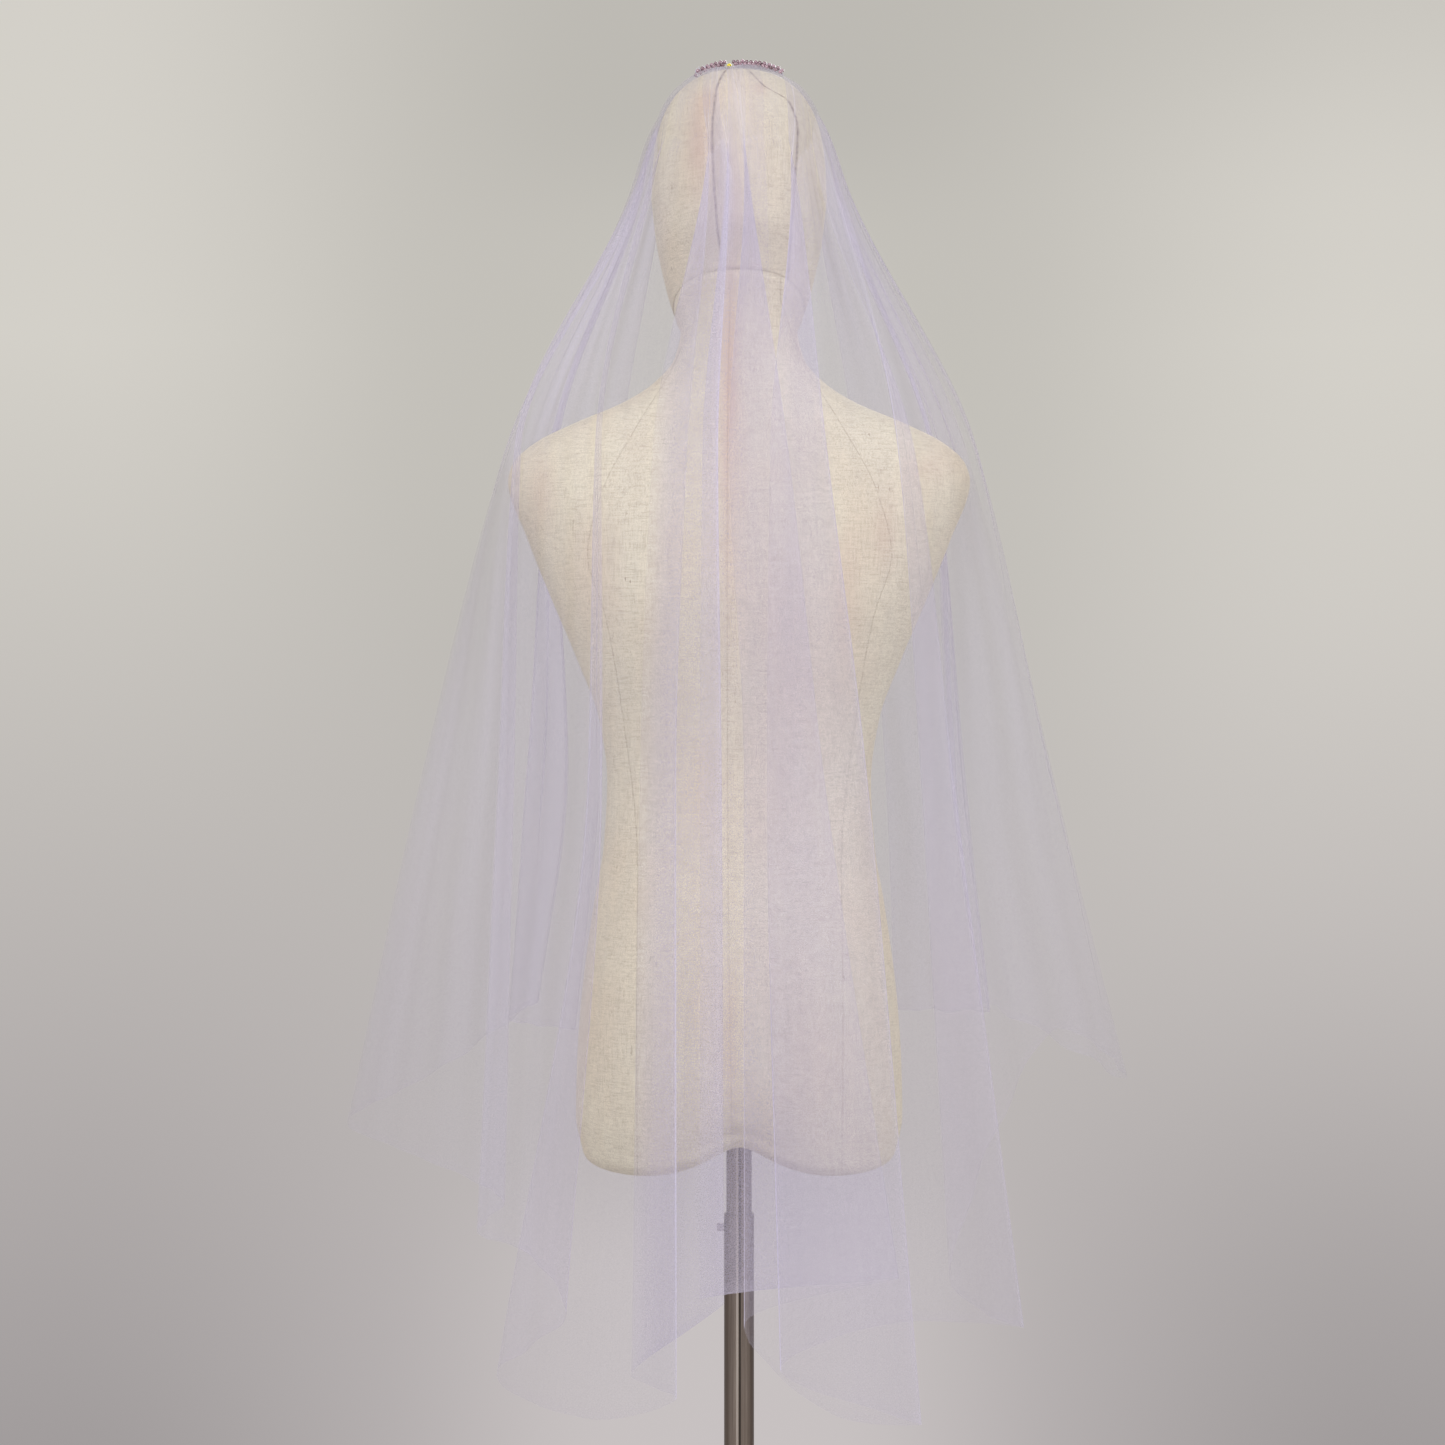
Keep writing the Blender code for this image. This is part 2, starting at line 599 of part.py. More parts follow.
def make_heading(look):
    """Narrow gathered band on top of the comb's spine."""
    verts, faces = crown_strip(
        HEADING_HALF_LENGTH,
        COMB_Y - HEADING_WIDTH / 2,
        COMB_Y + HEADING_WIDTH / 2,
        COMB_THICK + 2 * GAP,
        HEADING_THICK,
    )
    add_object("veil_heading", verts, faces, look)


def make_bead_row(look):
    """Plain round cord of the bead row's size, on top of the heading."""
    sides = 8
    lift = COMB_THICK + HEADING_THICK + 3 * GAP + BEAD_ROW_RADIUS
    rings = []
    for step in range(COMB_STEPS + 1):
        x = HEADING_HALF_LENGTH * (2 * step / COMB_STEPS - 1) * 0.97
        centre = Vector((x, BEAD_ROW_Y, crown_height(x, BEAD_ROW_Y) + lift))
        ring = []
        for s in range(sides):
            turn = 2 * math.pi * (s + 0.5) / sides
            y = BEAD_ROW_RADIUS * math.cos(turn)
            z = BEAD_ROW_RADIUS * math.sin(turn)
            ring.append((centre.x, centre.y + y, centre.z + z))
        rings.append(ring)
    ends = [tuple(np.mean(ring, axis=0)) for ring in (rings[0], rings[-1])]
    verts, faces = loft(rings, ends[0], ends[1])
    add_object("bead_row", verts, faces, look)


def make_pin(look):
    """Ball-headed pin, its ball over the heading's front edge and its shaft down in the head."""
    y = pin_y()
    top = crown_height(PIN_X, y)
    ball = top + COMB_THICK + HEADING_THICK + 3 * GAP + PIN_BALL_RADIUS
    profile = []
    steps = 8
    foot = math.asin(PIN_SHAFT_RADIUS / PIN_BALL_RADIUS)
    for step in range(steps + 1):
        turn = foot + (math.pi - foot) * step / (steps + 1)
        profile.append((PIN_BALL_RADIUS * math.sin(turn), ball - PIN_BALL_RADIUS * math.cos(turn)))
    rings = [circle(PIN_SHAFT_RADIUS, top - PIN_LENGTH, 12, (PIN_X, y))]
    rings += [circle(radius, height, 12, (PIN_X, y)) for radius, height in profile]
    verts, faces = loft(rings, (PIN_X, y, top - PIN_LENGTH), (PIN_X, y, ball + PIN_BALL_RADIUS))
    add_object("ball_pin", verts, faces, look)


def make_veil(look):
    """The one panel of tulle, gathered at the comb and hanging in pleats, as a thin wall."""
    verts, faces = wall_from_grid(veil_middle(VEIL_ROWS, COLUMNS_PER_FOLD), VEIL_THICK)
    add_object("veil_panel", verts, faces, look)


def main():
    for old in list(bpy.data.objects):
        bpy.data.objects.remove(old)
    linen = material("form_linen", (0.72, 0.64, 0.52), 0.9)
    tulle = material("veil_tulle", (0.62, 0.55, 0.74), 0.8)
    ribbon = material("heading_ribbon", (0.60, 0.50, 0.68), 0.6)
    clear = material("comb_plastic", (0.80, 0.78, 0.80), 0.3)
    pearl = material("bead_pearl", (0.42, 0.26, 0.33), 0.25)
    yellow = material("pin_head", (0.85, 0.68, 0.05), 0.2)
    steel = material("stand_steel", (0.42, 0.38, 0.36), 0.3, 1.0)
    torso_underside = make_torso(linen)
    make_head(linen)
    make_stand(steel, torso_underside)
    make_comb(clear)
    make_heading(ribbon)
    make_bead_row(pearl)
    make_pin(yellow)
    make_veil(tulle)


main()
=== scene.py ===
"""Looks of a tulle bridal veil on its linen dress form: cloth, linen, pearls, steel, light and camera.

Metres, +Z up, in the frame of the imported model. The form's back faces -Y, towards the camera.
"""
import math

import bpy
import numpy as np
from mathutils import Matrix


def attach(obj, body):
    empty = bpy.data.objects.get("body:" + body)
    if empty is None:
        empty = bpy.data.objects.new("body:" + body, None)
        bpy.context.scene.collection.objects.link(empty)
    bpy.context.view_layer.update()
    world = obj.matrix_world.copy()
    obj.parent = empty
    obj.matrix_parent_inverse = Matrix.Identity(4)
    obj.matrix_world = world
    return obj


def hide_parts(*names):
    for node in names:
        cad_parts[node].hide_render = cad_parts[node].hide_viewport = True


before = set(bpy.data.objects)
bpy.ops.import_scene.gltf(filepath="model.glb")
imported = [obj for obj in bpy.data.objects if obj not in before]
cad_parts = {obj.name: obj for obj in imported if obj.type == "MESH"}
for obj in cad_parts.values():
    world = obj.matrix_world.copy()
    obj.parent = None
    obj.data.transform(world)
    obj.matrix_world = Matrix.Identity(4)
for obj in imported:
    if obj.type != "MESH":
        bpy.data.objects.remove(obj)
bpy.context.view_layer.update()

GAP = 0.0003  # between pieces that touch on the real object

# Torso from its seam with the head down to the hips.
# Columns: height, half width, reach to the back, reach to the front.
TORSO_SECTIONS = (
    (1.4892, 0.0572, 0.066, 0.055),
    (1.4700, 0.0500, 0.057, 0.050),
    (1.4440, 0.0560, 0.054, 0.050),
    (1.4242, 0.0740, 0.056, 0.051),
    (1.4068, 0.1020, 0.060, 0.053),
    (1.3894, 0.1435, 0.066, 0.056),
    (1.3720, 0.1780, 0.071, 0.060),
    (1.3546, 0.1960, 0.076, 0.067),
    (1.3400, 0.2000, 0.081, 0.076),
    (1.2894, 0.1830, 0.094, 0.105),
    (1.2372, 0.1620, 0.098, 0.124),
    (1.1850, 0.1400, 0.090, 0.112),
    (1.1328, 0.1210, 0.078, 0.092),
    (1.0806, 0.1140, 0.072, 0.088),
    (1.0197, 0.1175, 0.081, 0.096),
    (0.9762, 0.1250, 0.096, 0.101),
    (0.8892, 0.1365, 0.114, 0.102),
    (0.8370, 0.1400, 0.112, 0.098),
    (0.7900, 0.1410, 0.102, 0.093),
    (0.7600, 0.1350, 0.092, 0.086),
)
TORSO_BOTTOM = 0.7413
TORSO_ARCH = 0.021  # how far the underside rises at the pole
TORSO_ARCH_WIDTH = 0.050
NOTCH_RISE = 0.008  # of the notch behind the pole, over the arch
NOTCH_WIDTH = 0.022
NOTCH_FADE = 0.015  # behind the pole's axis, where the notch is whole
ARCH_FADE = 0.83  # height on the torso's side where the arch ends
TORSO_SQUARE = 2.3  # exponent of the sections' ellipse; 2 is a plain ellipse
DEEPEST = 0.2  # share of a section's size; cloth is never moved out from deeper than that

# Head: a blank egg, widest at HEAD_MIDDLE, with a flat seam that leans forward over the neck
HEAD_MIDDLE = 1.585
HEAD_RISE = 0.1085  # from its widest height to its top
HEAD_HALF_WIDTH = 0.0757
HEAD_BACK = 0.095
HEAD_FRONT = 0.093
HEAD_DOME = 2.7  # exponent of the dome above the widest height
# Columns as for the torso, from the seam up to the widest height
HEAD_SECTIONS = (
    (1.4895, 0.0575, 0.067, 0.056),
    (1.5150, 0.0645, 0.079, 0.073),
    (1.5450, 0.0710, 0.089, 0.087),
    (HEAD_MIDDLE, HEAD_HALF_WIDTH, HEAD_BACK, HEAD_FRONT),
)
SEAM_HEIGHT = 1.4895
SEAM_SLOPE = 0.37  # rise per metre towards the back
SEAM_FADE = 0.075  # above and below the seam, where the rings lie level again

# Form, finer than its solids
COVER_RINGS = 150
COVER_SIDES = 168
COVER_PROUD = 0.0006  # cover cloth outside the solid
HEAD_COVER_RINGS = 90
COVER_FADE = 0.010  # above the head's seam, where its cover comes out to that
POLE_HOLE = 0.0118
BORE_DEPTH = 0.030  # of the hole for the pole that the cover shows
UNDER_RINGS = 14  # of the torso's underside
UNDER_START = 0.14  # share of the lowest section where the underside's rings start
UNDER_SQUARE = 6  # exponent of the underside's round edge
DOME_RISE = HEAD_RISE - 0.0002  # of the head's cover at its top

# Seams. Columns: height, place across seen from behind.
MIDDLE_SEAM = ((0.74, -0.0060), (1.05, -0.0100), (1.25, -0.0105), (1.40, -0.0100), (1.49, -0.0080))
SIDE_SEAM = (
    (0.74, 0.086),
    (1.00, 0.086),
    (1.150, 0.101),
    (1.220, 0.113),
    (1.272, 0.128),
    (1.324, 0.116),
    (1.385, 0.085),
    (1.430, 0.060),
    (1.490, 0.035),
)
HEAD_SEAM = (
    (1.490, -0.010),
    (1.560, -0.020),
    (1.620, -0.023),
    (1.660, -0.020),
    (1.700, -0.006),
)
HEAD_SIDE_SEAM = (
    (1.490, 0.040),
    (1.580, 0.046),
    (1.630, 0.049),
    (1.655, 0.042),
    (1.668, 0.020),
    (1.700, 0.000),
)
HEAD_SEAM_CLEARNESS = 3.0  # times as clear as the torso's seams

# Places on the form's back where the linen is painted darker and warmer: worn, tanned marks, and a painted
# shade line down the middle of the back.
# Columns: across, height, half width, half height, strength.
WEAR_AND_SHADE_PLACES = (
    (-0.034, 1.615, 0.011, 0.042, 0.50),
    (-0.026, 1.655, 0.012, 0.014, 0.30),
    (0.018, 1.665, 0.006, 0.007, 0.35),
    # this one, along the middle seam, is painted warm shade down the spine
    (-0.008, 1.400, 0.008, 0.140, 0.75),
    (-0.008, 0.860, 0.008, 0.060, 0.30),
    (0.122, 1.290, 0.010, 0.035, 0.35),
    (0.165, 1.350, 0.022, 0.016, 0.30),
    (0.090, 1.250, 0.012, 0.050, 0.25),
    (-0.125, 1.270, 0.020, 0.050, 0.20),
    (-0.168, 1.325, 0.012, 0.030, 0.30),
)

# Comb and heading, across the crown just behind its top
COMB_Y = -0.011
COMB_THICK = 0.0016
HEADING_HALF_LENGTH = 0.0382
HEADING_WIDTH = 0.008
HEADING_THICK = 0.0014
PIN_X = -0.0085
HEADING_COLUMNS = 420
HEADING_ROWS = 14
HEADING_COVERED = 0.95  # share of its width that the band's net covers
PLEAT_COLUMNS = 9.0  # columns to one pleat of the band
PLEAT_WANDER = 2.5  # how unevenly the band's pleats follow each other, as a turn
PLEAT_DEPTH = 0.0005
RUFFLE_UNEVEN = 0.0009
RUFFLE_CURL = 1.5  # exponent of the ruffle's rise over the band
PIN_NOTCH = 0.0042  # half width of the dip of the ruffle at the pin
PIN_NOTCH_DEPTH = 0.9  # share of the ruffle's rise
# Columns: place behind the comb, rise, start along the row in beads
BEAD_ROWS = ((-0.0062, 0.0000, 0.25), (-0.0036, 0.0026, 0.75))
BEAD_COUNT = 20
BEAD_RADIUS = 0.0019
BEAD_SIZES = (0.90, 1.08)  # least and most of that radius
BEAD_WANDER = 0.0003  # along the row
BEAD_UNEVEN = 0.0002  # across the row and up
BEAD_END_FALL = 0.0028  # how much lower the rows lie at their left end
RIGHT_END_SHARE = 0.3  # of that, at their right end
RUFFLE_RISE = 0.0068  # how far the heading stands up at its front edge
PIN_GAP = 0.0031  # the pin's head shows where beads this near are left out

# Veil
MM = 0.001
VEIL_CLEAR = 0.0014  # least space between the cloth's middle and the form
VEIL_START_Y = COMB_Y - HEADING_WIDTH / 2 - GAP - 0.0001
VEIL_START_LIFT = 0.0014  # of the cloth's middle above the crown, where it leaves the heading
VEIL_CORNER = 0.0085  # the gathered edge turns round the comb's ends in an arc of this radius
VEIL_STRAIGHT = 0.0370  # half of its straight stretch
LAYER_SHARE = 0.9  # of its space from the head at the head level that a line keeps at the crown
HEAD_LEVEL = 1.585
CROWN_LEVEL = 1.646
CROWN_SHARE = 0.62  # of the way from the comb to the head level, at the crown level
SHOULDER_LEVEL = 1.360
WAIST_LEVEL = 1.090
FOLD_ROUND = 0.0085  # tangent length that rounds a sharp fold
SMOOTHING_PASSES = 1  # that even out the folds at the crown
CROWN_ROWS = 0.34  # share of the rows that lie above the head level
CROWN_DROP = 0.105  # share of the drop that lies above the head level
CLOTH_ROWS = 168
CLOTH_COLUMNS_PER_FOLD = 16
LAYER_COVER = 0.155  # share of the light that one flat layer of the net stops
CLEAR_MOST = 0.004  # space from the form that creased cloth is pushed out to, at most
HEM_ROWS = 0.2  # share of the rows that close up towards the hem
HEM_PULL = 0.02
LEAN_LEAST = 0.02  # guards the rounding of a fold that turns right back
ROUND_MOST = 1.2  # rounding of a fold, in lengths of the stretch beside it

# The lines that the cloth is folded along, from its left front edge round the back to its right
# front edge, in millimetres. Columns: name, place along the comb, then x and y at the head level,
# at the shoulder level and at the waist level, then x, y and height at the hem.
VEIL_LINES = (
    ("left_front_edge", -52.7, -70, 64, -108, 88, -124, 112, -150, 140, 847),
    ("left_front_out", -50.8, -94, 46, -172, 92, -192, 108, -212, 140, 856),
    ("left_front_in", -48.9, -88, 28, -164, 62, -152, 62, -180, 84, 879),
    ("left_front_panel", -47, -95, 12, -199, 36, -243, 42, -276, 60, 816),
    ("left_outline", -45.2, -97, -2, -204, 2, -275, 4, -342, 10, 782),
    ("left_back_panel", -43.3, -92, -14, -200, -32, -240, -28, -291, -30, 764),
    ("left_pleat_a_in", -41.4, -86, -24, -186, -56, -192, -55, -201, -50, 724),
    ("left_pleat_a_out", -39.5, -91, -36, -189, -74, -201, -84, -219, -88, 704),
    ("left_between", -37.2, -82, -46, -158, -84, -160, -94, -181, -97, 691),
    ("left_pleat_b_in", -34.4, -74, -56, -116, -98, -115, -106, -144, -108, 642),
    ("left_pleat_b_out", -31.2, -76, -68, -119, -112, -124, -128, -198, -150, 600),
    ("left_panel", -26.6, -50, -93, -76, -127, -82, -147, -112, -200, 577),
    ("left_panel_edge", -22, -26, -114, -43, -134, -52, -153, -51, -192, 592),
    ("left_panel_tuck", -18.6, -29, -99, -72, -112, -82, -132, -88, -164, 604),
    ("middle_pleat_out", -15.2, -9, -110, -18, -111, -15, -129, -13, -153, 659),
    ("middle_pleat_in", -11.6, -11, -101, -31, -105, -33, -123, -33, -143, 660),
    ("middle_edge", -8, 7, -99, 40, -101, 69, -117, 130, -137, 676),
    ("middle_tuck", -4, 4, -108, -9, -112, 3, -130, 3, -160, 642),
    ("right_panel", 8, 22, -112, 29, -130, 49, -156, 87, -206, 578),
    ("right_panel_edge", 29, 47, -96, 71, -127, 103, -147, 144, -196, 572),
    ("right_panel_tuck", 31.6, 43, -86, 25, -119, 22, -133, 32, -169, 609),
    ("right_between", 34, 57, -80, 76, -112, 88, -124, 130, -158, 645),
    ("right_pleat_out", 36.4, 67, -70, 146, -78, 178, -86, 237, -94, 626),
    ("right_pleat_in", 38.6, 81, -68, 130, -120, 147, -142, 168, -178, 690),
    ("right_back_panel", 41, 92, -40, 198, -52, 228, -80, 264, -99, 876),
    ("right_outline", 44, 96, -6, 204, 2, 270, 2, 335, 0, 821),
    ("right_front_in", 47, 88, 18, 176, 58, 190, 54, 218, 62, 880),
    ("right_front_out", 50, 94, 40, 176, 88, 204, 106, 228, 134, 864),
    ("right_front_edge", 52.7, 70, 64, 108, 88, 134, 117, 145, 146, 865),
)

# Small creases of the veil between its fold lines, by the line that each stretch starts at.
# Columns: first stretch, last stretch, creases in each, their depth as a share of their width.
CREASES = (
    (0, 2, 3, 0.30),
    (3, 5, 3, 0.10),
    (6, 9, 2, 0.14),
    (10, 11, 3, 0.05),
    (12, 16, 1, 0.06),
    (17, 18, 3, 0.035),
    (19, 22, 2, 0.06),
    (23, 24, 3, 0.09),
    (25, 27, 3, 0.30),
)
CREASE_DEEPEST = 0.009
CREASE_WANDER = 0.22  # how far a crease strays sideways, in creases

# How the net's cover follows the fall of the cloth
FLAT_FROM = 0.55  # share of the fall below which the cloth hangs as wide as it is cut
GATHER_POWER = 0.7
STRETCHED_LEAST = 0.8  # times as dense as flat cloth, where it is drawn apart
COMPRESSED_MOST = 3.0  # times as dense as flat cloth, where it is gathered
FOLD_REACH = 0.0035  # radius of a bend that reads as a full fold
FOLD_LAYERS = 0.7  # layers that a full fold adds to one
RAW_EDGE_LAYERS = 1.5  # times the layers at the raw hem and front edges
LEAST_STEP = 0.0004  # guards a division where columns meet

# How the edge of a fold reads from afar. Columns: its line, how soft it is at the head, at the
# shoulder, at the waist and at the hem, then how strong the painted highlight along its edge is at the same
# levels.
FOLD_EDGES = (
    ("left_front_panel", 0.5, 0.7, 0.3, 0.2, 0.0, 0.0, 0.0, 0.0),
    ("left_outline", 0.6, 0.75, 0.5, 0.3, 0.0, 0.0, 0.0, 0.0),
    ("left_back_panel", 0.3, 0.4, 0.2, 0.1, 0.0, 0.0, 0.0, 0.0),
    ("left_pleat_b_in", 0.4, 0.6, 0.2, 0.0, 0.0, 0.0, 0.4, 0.4),
    ("left_pleat_b_out", 0.2, 0.3, 0.0, 0.0, 0.0, 0.1, 0.2, 0.2),
    ("left_panel_edge", 0.0, 0.5, 0.3, 0.0, 0.0, 0.0, 0.3, 1.0),
    ("left_panel_tuck", 0.0, 0.8, 0.7, 0.4, 0.0, 0.0, 0.0, 0.0),
    ("middle_pleat_out", 0.0, 0.0, 0.1, 0.4, 0.15, 0.5, 0.2, 0.0),
    ("middle_pleat_in", 0.0, 0.5, 0.8, 0.8, 0.1, 0.0, 0.0, 0.0),
    ("middle_edge", 0.0, 0.3, 0.2, 0.2, 0.0, 0.0, 0.0, 0.1),
    ("middle_tuck", 0.0, 0.7, 0.4, 0.0, 0.0, 0.0, 0.1, 1.0),
    ("right_panel_edge", 0.0, 0.2, 0.0, 0.0, 0.0, 0.1, 0.2, 0.2),
    ("right_panel_tuck", 0.0, 0.7, 0.6, 0.0, 0.3, 0.0, 0.0, 1.0),
    ("right_pleat_in", 0.2, 0.4, 0.2, 0.4, 0.0, 0.3, 0.1, 0.0),
    ("right_pleat_out", 0.2, 0.4, 0.2, 0.0, 0.0, 0.1, 0.2, 0.2),
    ("right_back_panel", 0.4, 0.5, 0.3, 0.2, 0.0, 0.0, 0.0, 0.0),
    ("right_outline", 0.6, 0.75, 0.5, 0.3, 0.0, 0.0, 0.0, 0.0),
    ("right_front_in", 0.3, 0.3, 0.3, 0.2, 0.0, 0.0, 0.0, 0.0),
)
# Cloth that hangs in fine gathers. Columns: the line that its stretch starts at, the places in the
# stretch where it starts and is closest, then the layers that one layer reads as there at the head,
# shoulder, waist and hem.
GATHERED = (
    ("left_panel_tuck", 0.02, 0.45, 2.3, 2.4, 2.8, 3.8),
    ("middle_pleat_in", 0.65, 0.20, 2.3, 2.0, 2.4, 5.2),
)
SOFT_WIDTH = 0.016  # of cloth beside a soft fold that fades
BRIGHT_WIDTH = 0.0015  # of cloth beside a fold edge that carries the painted highlight
BRIGHT_LAYERS = 5.0  # layers that a fold adds at its edge, where the painted highlight lies
EDGE_LEVELS = (1.54, SHOULDER_LEVEL, WAIST_LEVEL, 0.72)  # heights of head, shoulder, waist and hem there
GATHER_LEVELS = (1.66, *EDGE_LEVELS)  # fine gathers come to nothing at the first

# Colours, as linear light
TULLE_COOL = (0.48, 0.465, 0.60, 1)
# painted sheen on the bends of folds
TULLE_FOLD_SHEEN = (0.64, 0.61, 0.75, 1)
# painted highlight along the edges of some folds
TULLE_PAINTED_HIGHLIGHT = (0.78, 0.74, 0.97, 1)
TULLE_WARM = (0.55, 0.49, 0.62, 1)
LINEN_PALE = (0.68, 0.635, 0.51, 1)
LINEN_WARM = (0.66, 0.575, 0.445, 1)
LINEN_GREY = (0.58, 0.53, 0.43, 1)
LINEN_DARK = (0.46, 0.40, 0.31, 1)
LINEN_FLECK = (0.22, 0.17, 0.12, 1)
LINEN_SEAM = (0.20, 0.15, 0.11, 1)
# worn marks, and the painted shade down the spine
LINEN_WEAR_AND_SHADE = (0.52, 0.345, 0.28, 1)
STEEL_DARK = (0.14, 0.108, 0.090, 1)
STEEL_PALE = (0.42, 0.36, 0.325, 1)
STEEL_PAINTED_HIGHLIGHT = (0.70, 0.64, 0.60, 1)
STEEL_GROOVE = (0.03, 0.025, 0.022, 1)
PEARL_DARK = (0.10, 0.04, 0.06, 1)
PEARL_PALE = (0.40, 0.25, 0.32, 1)
PIN_DEEP = (0.80, 0.64, 0.02, 1)
PIN_PALE = (0.90, 0.78, 0.06, 1)
COMB_DARK = (0.72, 0.70, 0.74, 1)
COMB_PALE = (0.82, 0.80, 0.84, 1)
FLOOR_DARK = (0.60, 0.57, 0.55, 1)
FLOOR_PALE = (0.64, 0.61, 0.59, 1)
LIGHT_COLOUR = (0.98, 1.0, 0.99)
# Lines drawn along the pole: a painted highlight and a dark groove. Columns: place across, half width, faded
# half width, strength, colour.
STEEL_LINES = (
    (-0.0018, 0.0003, 0.0011, 0.55, STEEL_PAINTED_HIGHLIGHT),
    (0.0006, 0.0005, 0.0011, 0.95, STEEL_GROOVE),
)
NET_CELLS = 620.0  # of the net to a metre

# Surroundings, light and camera
FLOOR_RADII = (0.5, 1.0, 1.5)
FLOOR_SIDES = 96
WORLD_LOW = (0.508, 0.474, 0.474, 1)
WORLD_HIGH = (0.510, 0.492, 0.455, 1)
WORLD_SIDES = 0.28  # paler high at the sides, and as much darker low down
WORLD_RIGHT = 0.09  # paler at the right, level with the waist
WORLD_RIGHT_TOP = -0.14  # darker at the upper right
WORLD_NECK = 0.09  # paler beside the neck
WORLD_BELOW = 0.13  # paler below the form
# Lights. Columns: name, place, aimed at, size, watts
LIGHTS = (
    ("key_soft", (-1.1, -2.1, 2.75), (0, 0, 1.45), 1.8, 44),
    ("fill_soft", (2.1, -1.6, 1.8), (0, 0, 1.35), 1.8, 31),
    ("low_soft", (-0.7, -2.5, 0.9), (0, 0, 1.45), 1.4, 6),
    ("rim_soft", (0.6, 2.4, 2.6), (0, 0, 1.3), 1.6, 26),
)
CAMERA_PLACE = (-0.0144, -2.3, 1.1306)
CAMERA_LENS = 65.9
CAMERA_SENSOR = 36.0
CLEAR_LAYERS = 64  # of net that a ray passes, front and back edges counted


def monotone(keys, values, at):
    """A smooth curve through values at rising keys, which never swings past them, read at `at`."""
    keys = np.asarray(keys, float)
    values = np.asarray(values, float)
    step = np.diff(keys)
    rise = np.diff(values) / step
    slope = np.zeros(len(keys))
    slope[0] = rise[0]
    slope[-1] = rise[-1]
    for i in range(1, len(keys) - 1):
        if rise[i - 1] * rise[i] > 0:
            before = 2 * step[i] + step[i - 1]
            after = step[i] + 2 * step[i - 1]
            slope[i] = (before + after) / (before / rise[i - 1] + after / rise[i])
    at = np.clip(np.asarray(at, float), keys[0], keys[-1])
    i = np.clip(np.searchsorted(keys, at) - 1, 0, len(keys) - 2)
    t = (at - keys[i]) / step[i]
    return (
        (1 + 2 * t) * (1 - t) ** 2 * values[i]
        + t * (1 - t) ** 2 * step[i] * slope[i]
        + t**2 * (3 - 2 * t) * values[i + 1]
        + t**2 * (t - 1) * step[i] * slope[i + 1]
    )


def section_sizes(sections, height):
    """Half width and the reaches to the back and front of a sections table at a height."""
    rows = np.array(sorted(sections))
    return [monotone(rows[:, 0], rows[:, column], height) for column in (1, 2, 3)]


def form_sizes(height):
    """The form's half width, back and front at each height, torso and head alike."""
    torso = section_sizes(TORSO_SECTIONS, height)
    head = section_sizes(HEAD_SECTIONS, height)
    above = np.asarray(height) > SEAM_HEIGHT
    return [np.where(above, up, down) for up, down in zip(head, torso)]


def clear_of_form(x, y, z, space):
    """Moves points that are in the form, or nearer to it than space, out of it."""
    rise = (z - HEAD_MIDDLE) / (HEAD_RISE + space)
    depth = np.where(y < 0, HEAD_BACK, HEAD_FRONT) + space
    flat = np.hypot(x / (HEAD_HALF_WIDTH + space), y / depth)
    share = (flat**HEAD_DOME + np.clip(rise, 0, None) ** HEAD_DOME) ** (1 / HEAD_DOME)
    out = np.where((rise > 0) & (share < 1), 1 / np.maximum(share, DEEPEST), 1.0)
    x = x * out
    y = y * out
    z = np.where(rise > 0, HEAD_MIDDLE + (z - HEAD_MIDDLE) * out, z)
    width, back, front = form_sizes(z)
    depth = np.where(y < 0, back, front) + space
    square = np.where(z < SEAM_HEIGHT, TORSO_SQUARE, 2.0)
    share = (np.abs(x / (width + space)) ** square + np.abs(y / depth) ** square) ** (1 / square)
    held = (z < HEAD_MIDDLE) & (z > TORSO_BOTTOM) & (share < 1)
    out = np.where(held, 1 / np.maximum(share, DEEPEST), 1.0)
    return x * out, y * out, z


def crown_height(x, y):
    """Height of the head's dome over a point."""
    depth = HEAD_BACK if y < 0 else HEAD_FRONT
    flat = math.hypot(x / HEAD_HALF_WIDTH, y / depth)
    return HEAD_MIDDLE + HEAD_RISE * (1 - flat**HEAD_DOME) ** (1 / HEAD_DOME)


def gathered_edge(place):
    """Where on the crown a line starts: straight behind the heading, then round its ends."""
    turn = max(abs(place) - VEIL_STRAIGHT, 0) / VEIL_CORNER
    x = min(abs(place), VEIL_STRAIGHT) + VEIL_CORNER * math.sin(turn)
    y = VEIL_START_Y + VEIL_CORNER * (1 - math.cos(turn))
    x = math.copysign(x, place)
    return x, y, crown_height(x, y) + VEIL_START_LIFT


def evened(values):
    """Each fold line's values pulled towards its neighbours', so that pleats lie side by side."""
    for _ in range(SMOOTHING_PASSES):
        values = np.concatenate(
            [values[:1], (values[:-2] + 2 * values[1:-1] + values[2:]) / 4, values[-1:]]
        )
    return values


def outside_head(x, y):
    """How far points at the head level lie outside the head."""
    depth = np.where(y < 0, HEAD_BACK, HEAD_FRONT)
    reach = np.hypot(x / HEAD_HALF_WIDTH, y / depth)
    return (reach - 1) * np.hypot(x, y) / reach


